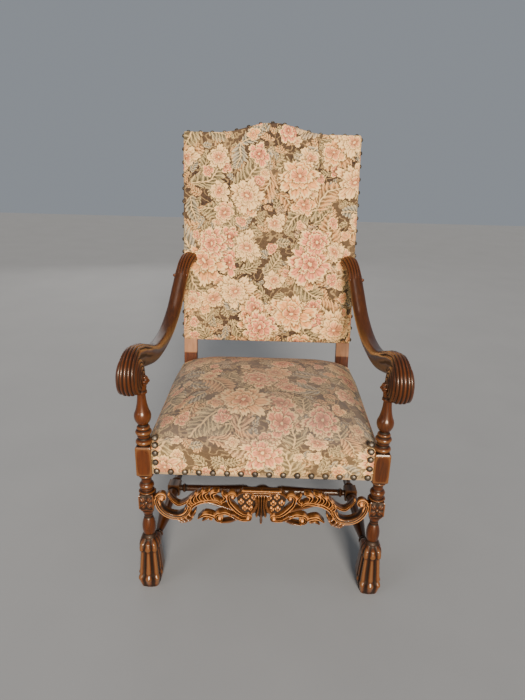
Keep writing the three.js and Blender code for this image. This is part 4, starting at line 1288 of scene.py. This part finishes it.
def dimple(points, normals, places):
    """Presses the cover in under each nail."""
    for place in places:
        near = hump(np.linalg.norm(points - place, axis=1), 0, DIMPLE[0])
        points = points - normals * (near * DIMPLE[1])[:, None]
    return points


def stuffed(name, shell, share, held):
    """A padded piece, swollen by its share of the stuffing."""
    make = bpy.context.scene.throne_make
    piece = build(name, [shell])
    fuse(piece, make.cloth_grain)
    puffed(piece, make.puff * share, held)
    divide(piece)
    return piece


def store_cloth(mesh, across, up):
    """The flat place of each point on the bolt of cloth, for its pattern."""
    flat = np.stack([across, up, 0 * up], 1).astype(np.float32)
    cloth = mesh.attributes.new("cloth", "FLOAT_VECTOR", "POINT")
    cloth.data.foreach_set("vector", flat.ravel())


# -------- nails
def nail_shell(place, axis, diameter=17.0, height=6.0):
    """A domed nail head whose flat side sits at place and whose dome points along axis."""
    turn = whole_turn(22)
    steps = [
        (0.90, -0.06), (1.0, 0.0), (1.0, 0.10), (0.95, 0.34), (0.85, 0.56), (0.70, 0.76), (0.50, 0.90),
        (0.27, 0.98), (0.06, 1.0),
    ]
    rings = [ring(2, h * height, turn, r * diameter / 2, r * diameter / 2) for r, h in steps]
    turned = Vector((0, 0, 1)).rotation_difference(Vector(axis)).to_matrix().to_4x4()
    return moved(skin(rings), Matrix.Translation(place) @ turned)


def front_nail_places():
    parts = [2 * i / (NAIL_COUNT - 1) - 1 for i in range(NAIL_COUNT)]
    return [(NAIL_EDGE * part, SEAT_FRONT - GAP, NAIL_Z) for part in parts]


def side_column(side):
    """Nails up the front edge of the seat beside the leg, following its curve back."""
    face = SEAT_FRONT - GAP
    places = [(26, face, 0), (52, face, 0), (74, SEAT_FRONT + 1.2, -0.3), (92, -13.5, -0.7)]
    return [((side * (NAIL_EDGE + 2), y, NAIL_Z + up), (0, -1, -lean)) for up, y, lean in places]


def seat_edge_places(side):
    """Nails along the lower edge of the covered side rail."""
    return [(side * (SEAT_HALF + 0.2), y, NAIL_Z) for y in np.linspace(38, 545, 14)]


def back_nail_places():
    """Nails round the edge of the back, on its sides and its top."""
    lean = leaned_matrix()
    turned = lean.to_3x3()
    depth = 17
    into = 0.6
    places = []
    for side in (-1, 1):
        for z in np.linspace(14, BACK_SHOULDER - 14, 17):
            place = lean @ Vector((side * (BACK_HALF - into), depth, z))
            places.append((place, turned @ Vector((side, 0, 0))))
    for x in np.linspace(-278, 278, 15):
        slope = float(back_top(x + 1.0) - back_top(x - 1.0)) / 2
        place = lean @ Vector((x, depth, float(back_top(x)) - into))
        places.append((place, turned @ Vector((-slope, 0, 1)).normalized()))
    return places


# -------- operators
LIT = Vector((0, 0, 0.55))
LIGHTS = (   # name, kind, place, angle or side, power, colour
    ("key", "SUN", (0.5, -3.8, 2.05), math.radians(18), 6.3, (1.0, 0.92, 0.82)),
    ("left", "AREA", (-2.4, -2.4, 1.7), 1.0, 14, (1.0, 0.97, 0.94)),
    ("top", "AREA", (-0.4, -0.6, 3.0), 0.8, 5, (1.0, 1.0, 1.0)),
    ("behind", "AREA", (-1.0, 3.6, 2.0), 3.2, 26, (1.0, 0.97, 0.94)),
)
LENS = 27.05
CAMERA_PLACE = (0.0065, -1.1627, 1.1116)      # from the plane of the front leg axes
CAMERA_TURNS = (-0.669, 19.985, 1.421)        # to the right, down, clockwise, in degrees


def carved_pair(name, shells, passes, depth, slot, node, angle=40.0):
    """Builds and dresses a wooden piece of the right side and its reflection on the left."""
    right = build(f"{name}_right", shells)
    mark_hollows(right.data, passes, depth)
    left = mirrored(right, f"{name}_left")
    for side, piece in (("right", right), ("left", left)):
        dress(piece, walnut_for(slot), [f"{node}_{side}"], angle)


class ThroneOperator:
    bl_options = {"REGISTER", "UNDO"}

    def execute(self, context):
        self.make(context)
        return {"FINISHED"}


class THRONE_OT_stage(ThroneOperator, bpy.types.Operator):
    """Lay a pale floor, hang soft studio lights and set up the camera"""
    bl_idname = "throne.stage"
    bl_label = "Studio"

    def make(self, context):
        scene = context.scene
        mesh = bpy.data.meshes.new("floor")
        mesh.from_pydata([(-9, -9, 0), (9, -9, 0), (9, 9, 0), (-9, 9, 0)], [], [(0, 1, 2, 3)])
        floor = placed("floor", mesh)
        sheet = Sheet("pale_floor")
        mottled = sheet.noise(sheet.place(), 3.0, 4.0)
        tone = sheet.mix(mottled, (0.27, 0.272, 0.275), (0.31, 0.312, 0.315))
        mesh.materials.append(sheet.finish(Base_Color=tone, Roughness=0.75 + mottled * 0.1))
        world = bpy.data.worlds.new("studio")
        world.use_nodes = True
        sky = world.node_tree.nodes["Background"].inputs
        sky[0].default_value = (0.62, 0.67, 0.74, 1)
        sky[1].default_value = 0.42
        scene.world = world
        for name, kind, place, size, power, tint in LIGHTS:
            lamp = bpy.data.lights.new(name, kind)
            setattr(lamp, "angle" if kind == "SUN" else "size", size)
            lamp.energy = power
            lamp.color = tint
            light = placed(name, lamp)
            light.location = place
            light.rotation_euler = (LIT - Vector(place)).to_track_quat("-Z", "Y").to_euler()
        lens = bpy.data.cameras.new("camera")
        lens.sensor_fit = "AUTO"
        lens.sensor_width = 36
        lens.lens = LENS
        camera = placed("camera", lens)
        yaw, pitch, roll = (math.radians(value) for value in CAMERA_TURNS)
        forward = Vector((math.sin(yaw) * math.cos(pitch), math.cos(yaw) * math.cos(pitch), -math.sin(pitch)))
        level = Vector((math.cos(yaw), -math.sin(yaw), 0))
        upward = level.cross(forward)
        right = math.cos(roll) * level + math.sin(roll) * upward
        above = math.cos(roll) * upward - math.sin(roll) * level
        turn = Matrix((right, above, -forward)).transposed().to_4x4()
        x, y, z = CAMERA_PLACE
        camera.matrix_world = Matrix.Translation((x, AXIS_Y + y, z)) @ turn
        scene.camera = camera


class THRONE_OT_front_legs(ThroneOperator, bpy.types.Operator):
    """Carve and turn the two front legs"""
    bl_idname = "throne.front_legs"
    bl_label = "Front legs"

    def make(self, context):
        rings, sunk = leg_rings()
        shell = skin(rings + np.array([LEG_X, 0, 0]), sunk)
        carved_pair("carved_leg", [shell], 22, 1.3, "leg_walnut", "front_leg")


class THRONE_OT_rear_legs(ThroneOperator, bpy.types.Operator):
    """Round over the edges of the two rear legs and back posts"""
    bl_idname = "throne.rear_legs"
    bl_label = "Rear legs"

    def make(self, context):
        for side in ("right", "left"):
            piece = softened_copy(f"rear_leg_{side}", f"back_post_{side}", 2.0)
            dress(piece, walnut_for("post_walnut"), [f"rear_leg_{side}"])


class THRONE_OT_arms(ThroneOperator, bpy.types.Operator):
    """Carve the two scrolled arms"""
    bl_idname = "throne.arms"
    bl_label = "Arms"

    def make(self, context):
        carved_pair("carved_arm", arm_shells(), 6, 0.9, "arm_walnut", "arm", 60)


class THRONE_OT_front_stretcher(ThroneOperator, bpy.types.Operator):
    """Carve the pierced front stretcher"""
    bl_idname = "throne.front_stretcher"
    bl_label = "Front stretcher"

    def make(self, context):
        piece = build("carved_stretcher", stretcher_shells())
        mark_hollows(piece.data, 4, 0.8)
        dress(piece, walnut_for("carving_walnut"), ["stretcher_front"], 70)


class THRONE_OT_turned_stretchers(ThroneOperator, bpy.types.Operator):
    """Turn the side stretchers and the cross stretcher between them"""
    bl_idname = "throne.turned_stretchers"
    bl_label = "Turned stretchers"

    def make(self, context):
        run = STRETCHER_REAR - STRETCHER_FRONT
        length = float(np.hypot(*run))
        lean = math.atan2(run[0], run[1])
        middle = (MID_BLOCK_Y - STRETCHER_FRONT[1]) / math.cos(lean)
        steps = [
            (18, 17), (22, 24, 25), (26, 18), (102, 37, 27), (104, 33), (114, 24, 35), (115.5, 23),
            (middle - 32, 34, 25), (middle - 26, 24, 30), (middle + 26, 24), (middle + 38, 24, 33),
            (middle + 110, 23, 22), (middle + 180, 33, 24), (middle + 182, 30), (middle + 192, 24, 31),
            (length - 60, 22, 21), (length, 22),
        ]
        shell = bar_shell(turned_profile((0, 17), steps), [middle, length - 30])
        turn = Matrix.Rotation(-lean, 4, "Z") @ Matrix.Rotation(math.radians(-90), 4, "X")
        place = Matrix.Translation((*STRETCHER_FRONT, STRETCHER_Z))
        shells = [moved(shell, place @ turn)]
        carved_pair("turned_stretcher", shells, 14, 1.2, "turned_walnut", "stretcher")
        low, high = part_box("stretcher_cross")
        span = (high[0] - low[0]) / MM
        half = span / 2
        steps = [
            (6, 18), (12, 28, 25), (18, 20), (half - 60, 34, 24), (half - 58, 31), (half - 46, 24, 31),
            (half - 20, 24, 22), (half, 38, 35), (half + 20, 24, 35), (half + 46, 24, 22),
            (half + 58, 31, 31), (half + 60, 34), (span - 18, 20, 24), (span - 12, 28),
            (span - 6, 18, 25), (span, 18),
        ]
        turn = Matrix.Rotation(math.radians(90), 4, "Y")
        place = Matrix.Translation((-half, MID_BLOCK_Y, STRETCHER_Z))
        cross = build("turned_cross", [moved(bar_shell(turned_profile((0, 18), steps)), place @ turn)])
        mark_hollows(cross.data, 14, 1.2)
        dress(cross, walnut_for("turned_walnut"), ["stretcher_cross"])


class THRONE_OT_rails(ThroneOperator, bpy.types.Operator):
    """Finish the beech rails hidden under the upholstery"""
    bl_idname = "throne.rails"
    bl_label = "Rails"

    def make(self, context):
        for node, carrier in frame["nodes"].items():
            if "rail" in node:
                carrier.data.materials.clear()
                carrier.data.materials.append(walnut_for("rail_beech"))


class THRONE_OT_seat(ThroneOperator, bpy.types.Operator):
    """Stuff and cover the domed seat"""
    bl_idname = "throne.seat"
    bl_label = "Seat"

    def make(self, context):
        piece = stuffed("stuffed_seat", seat_shell(), 1.0, self.held)
        points = points_of(piece.data) / MM
        points[:, 1] -= AXIS_Y / MM
        places = front_nail_places() + [place for side in (-1, 1) for place, _ in side_column(side)]
        places += seat_edge_places(-1) + seat_edge_places(1)
        points = dimple(points, points_of(piece.data, "normal"), np.array(places))
        drop = np.clip(TURNS_DOWN - points[:, 2], 0, None)
        ahead = 1 - eased(points[:, 1], -16, 30)
        behind = eased(points[:, 1], SEAT_REAR - 22, SEAT_REAR - 2)
        aside = eased(np.abs(points[:, 0]), 262, 297) * (1 - ahead) * (1 - behind)
        points[:, 1] += AXIS_Y / MM
        put_points(piece.data, points * MM)
        across = (points[:, 0] + np.sign(points[:, 0]) * drop * aside) * MM
        up = (points[:, 1] - drop * ahead + drop * behind) * MM
        store_cloth(piece.data, across, up)
        fabric = context.scene.throne_fabric
        cover = tapestry("tapestry_seat", fabric, fabric.soil_and_shade)
        dress(piece, cover, ["seat_upholstery"], 60)

    @staticmethod
    def held(points):
        return 1 - eased(points[:, 2], TACKED[0] * MM, TACKED[1] * MM)


class THRONE_OT_back(ThroneOperator, bpy.types.Operator):
    """Pad and cover the raked back"""
    bl_idname = "throne.back"
    bl_label = "Back"

    def make(self, context):
        piece = stuffed("padded_back", back_shell(), 0.7, self.held)
        points = points_of(piece.data)
        across = points[:, 0]
        depth = points[:, 1] - self.face(points)
        aside = eased(np.abs(across), 0.285, 0.294)
        up = (points[:, 2] - BACK_FOOT[1] * MM) / math.cos(RAKE)
        store_cloth(piece.data, across + np.sign(across) * depth * aside, up + BACK_CUT)
        cover = tapestry("tapestry_back", context.scene.throne_fabric)
        dress(piece, cover, ["back_upholstery"], 60)

    @staticmethod
    def face(points):
        """Depth of the plane of the back's front edge at each point's height."""
        return AXIS_Y + BACK_FOOT[0] * MM + (points[:, 2] - BACK_FOOT[1] * MM) * math.tan(RAKE)

    @staticmethod
    def held(points):
        depth = points[:, 1] - THRONE_OT_back.face(points)
        return eased(depth, 0.001, 0.006)


class THRONE_OT_outside_back(ThroneOperator, bpy.types.Operator):
    """Cover the rear of the back"""
    bl_idname = "throne.outside_back"
    bl_label = "Outside back"

    def make(self, context):
        piece = softened_copy("outside_back", "covered_outside_back", 1.8)
        cloth = plain_cloth("outside_fabric", (0.21, 0.145, 0.10), 0.0012, 0.1)
        dress(piece, cloth, ["outside_back"])


class THRONE_OT_dust_cloth(ThroneOperator, bpy.types.Operator):
    """Tack a thin black cloth under the seat"""
    bl_idname = "throne.dust_cloth"
    bl_label = "Dust cloth"

    def make(self, context):
        low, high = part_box("dust_cloth")
        wide = high[0] - low[0]
        long = high[1] - low[1]
        count = 49
        x, y = (np.linspace(low[axis], high[axis], count) for axis in (0, 1))
        across, deep = np.meshgrid(x, y)
        sag = 0.006 * np.cos(math.pi * across / wide) * np.sin(math.pi * (deep - low[1]) / long)
        points = np.stack([across, deep, high[2] - 0.0005 - sag], -1).reshape(-1, 3)
        index = np.arange(count * count).reshape(count, count)
        corners = [index[:-1, :-1], index[:-1, 1:], index[1:, 1:], index[1:, :-1]]
        quads = np.stack(corners, -1).reshape(-1, 4)
        middle = points[quads].mean(1)
        at_end = (middle[:, 1] < low[1] + 0.033) | (middle[:, 1] > high[1] - 0.02)
        at_leg = at_end & (np.abs(middle[:, 0]) > 0.277)
        mesh = bpy.data.meshes.new("black_dust_cloth")
        mesh.from_pydata(points.tolist(), [], quads[~at_leg].tolist())
        piece = placed("black_dust_cloth", mesh)
        thick = piece.modifiers.new("thread", "SOLIDIFY")
        thick.thickness = 0.0006
        settle(piece)
        cloth = plain_cloth("black_cloth", (0.022, 0.02, 0.019), 0.001, 0.1)
        dress(piece, cloth, ["dust_cloth"])


class THRONE_OT_nails(ThroneOperator, bpy.types.Operator):
    """Drive the domed nails round the seat and the back"""
    bl_idname = "throne.nails"
    bl_label = "Nails"

    def make(self, context):
        brass = aged_brass()
        front = build("nails_front", [nail_shell(place, (0, -1, 0)) for place in front_nail_places()])
        dress(front, brass, [f"nail_front_{i + 1}" for i in range(NAIL_COUNT)], 70)
        for name, side in (("right", 1), ("left", -1)):
            shells = [nail_shell(place, axis) for place, axis in side_column(side)]
            shells += [nail_shell(place, (side, 0, 0)) for place in seat_edge_places(side)]
            piece = build(f"nails_side_{name}", shells)
            dress(piece, brass, [f"nail_side_{name}_{i}" for i in (1, 2)], 70)
        shells = [nail_shell(place, axis, 13.0, 5.0) for place, axis in back_nail_places()]
        back = build("nails_back", shells)
        dress(back, brass, [], 70)


class THRONE_PT_panel(bpy.types.Panel):
    bl_label = "Throne armchair"
    bl_idname = "THRONE_PT_panel"
    bl_space_type = "VIEW_3D"
    bl_region_type = "UI"
    bl_category = "Throne"

    def draw(self, context):
        for operator in OPERATORS:
            self.layout.operator(operator.bl_idname)
        for group in (context.scene.throne_wood, context.scene.throne_fabric, context.scene.throne_make):
            box = self.layout.box()
            for name in group.__annotations__:
                box.prop(group, name)


OPERATORS = (
    THRONE_OT_stage,
    THRONE_OT_front_legs,
    THRONE_OT_rear_legs,
    THRONE_OT_arms,
    THRONE_OT_front_stretcher,
    THRONE_OT_turned_stretchers,
    THRONE_OT_rails,
    THRONE_OT_seat,
    THRONE_OT_back,
    THRONE_OT_outside_back,
    THRONE_OT_dust_cloth,
    THRONE_OT_nails,
)
GROUPS = {"throne_wood": ThroneWood, "throne_fabric": ThroneFabric, "throne_make": ThroneMake}


def register():
    for name, group in GROUPS.items():
        bpy.utils.register_class(group)
        setattr(bpy.types.Scene, name, PointerProperty(type=group))
    for kind in (*OPERATORS, THRONE_PT_panel):
        bpy.utils.register_class(kind)


def unregister():
    for kind in reversed((*OPERATORS, THRONE_PT_panel)):
        bpy.utils.unregister_class(kind)
    for name, group in GROUPS.items():
        delattr(bpy.types.Scene, name)
        bpy.utils.unregister_class(group)


def main():
    register()
    for operator in OPERATORS:
        area, name = operator.bl_idname.split(".")
        getattr(getattr(bpy.ops, area), name)()


if __name__ == "__main__":
    main()
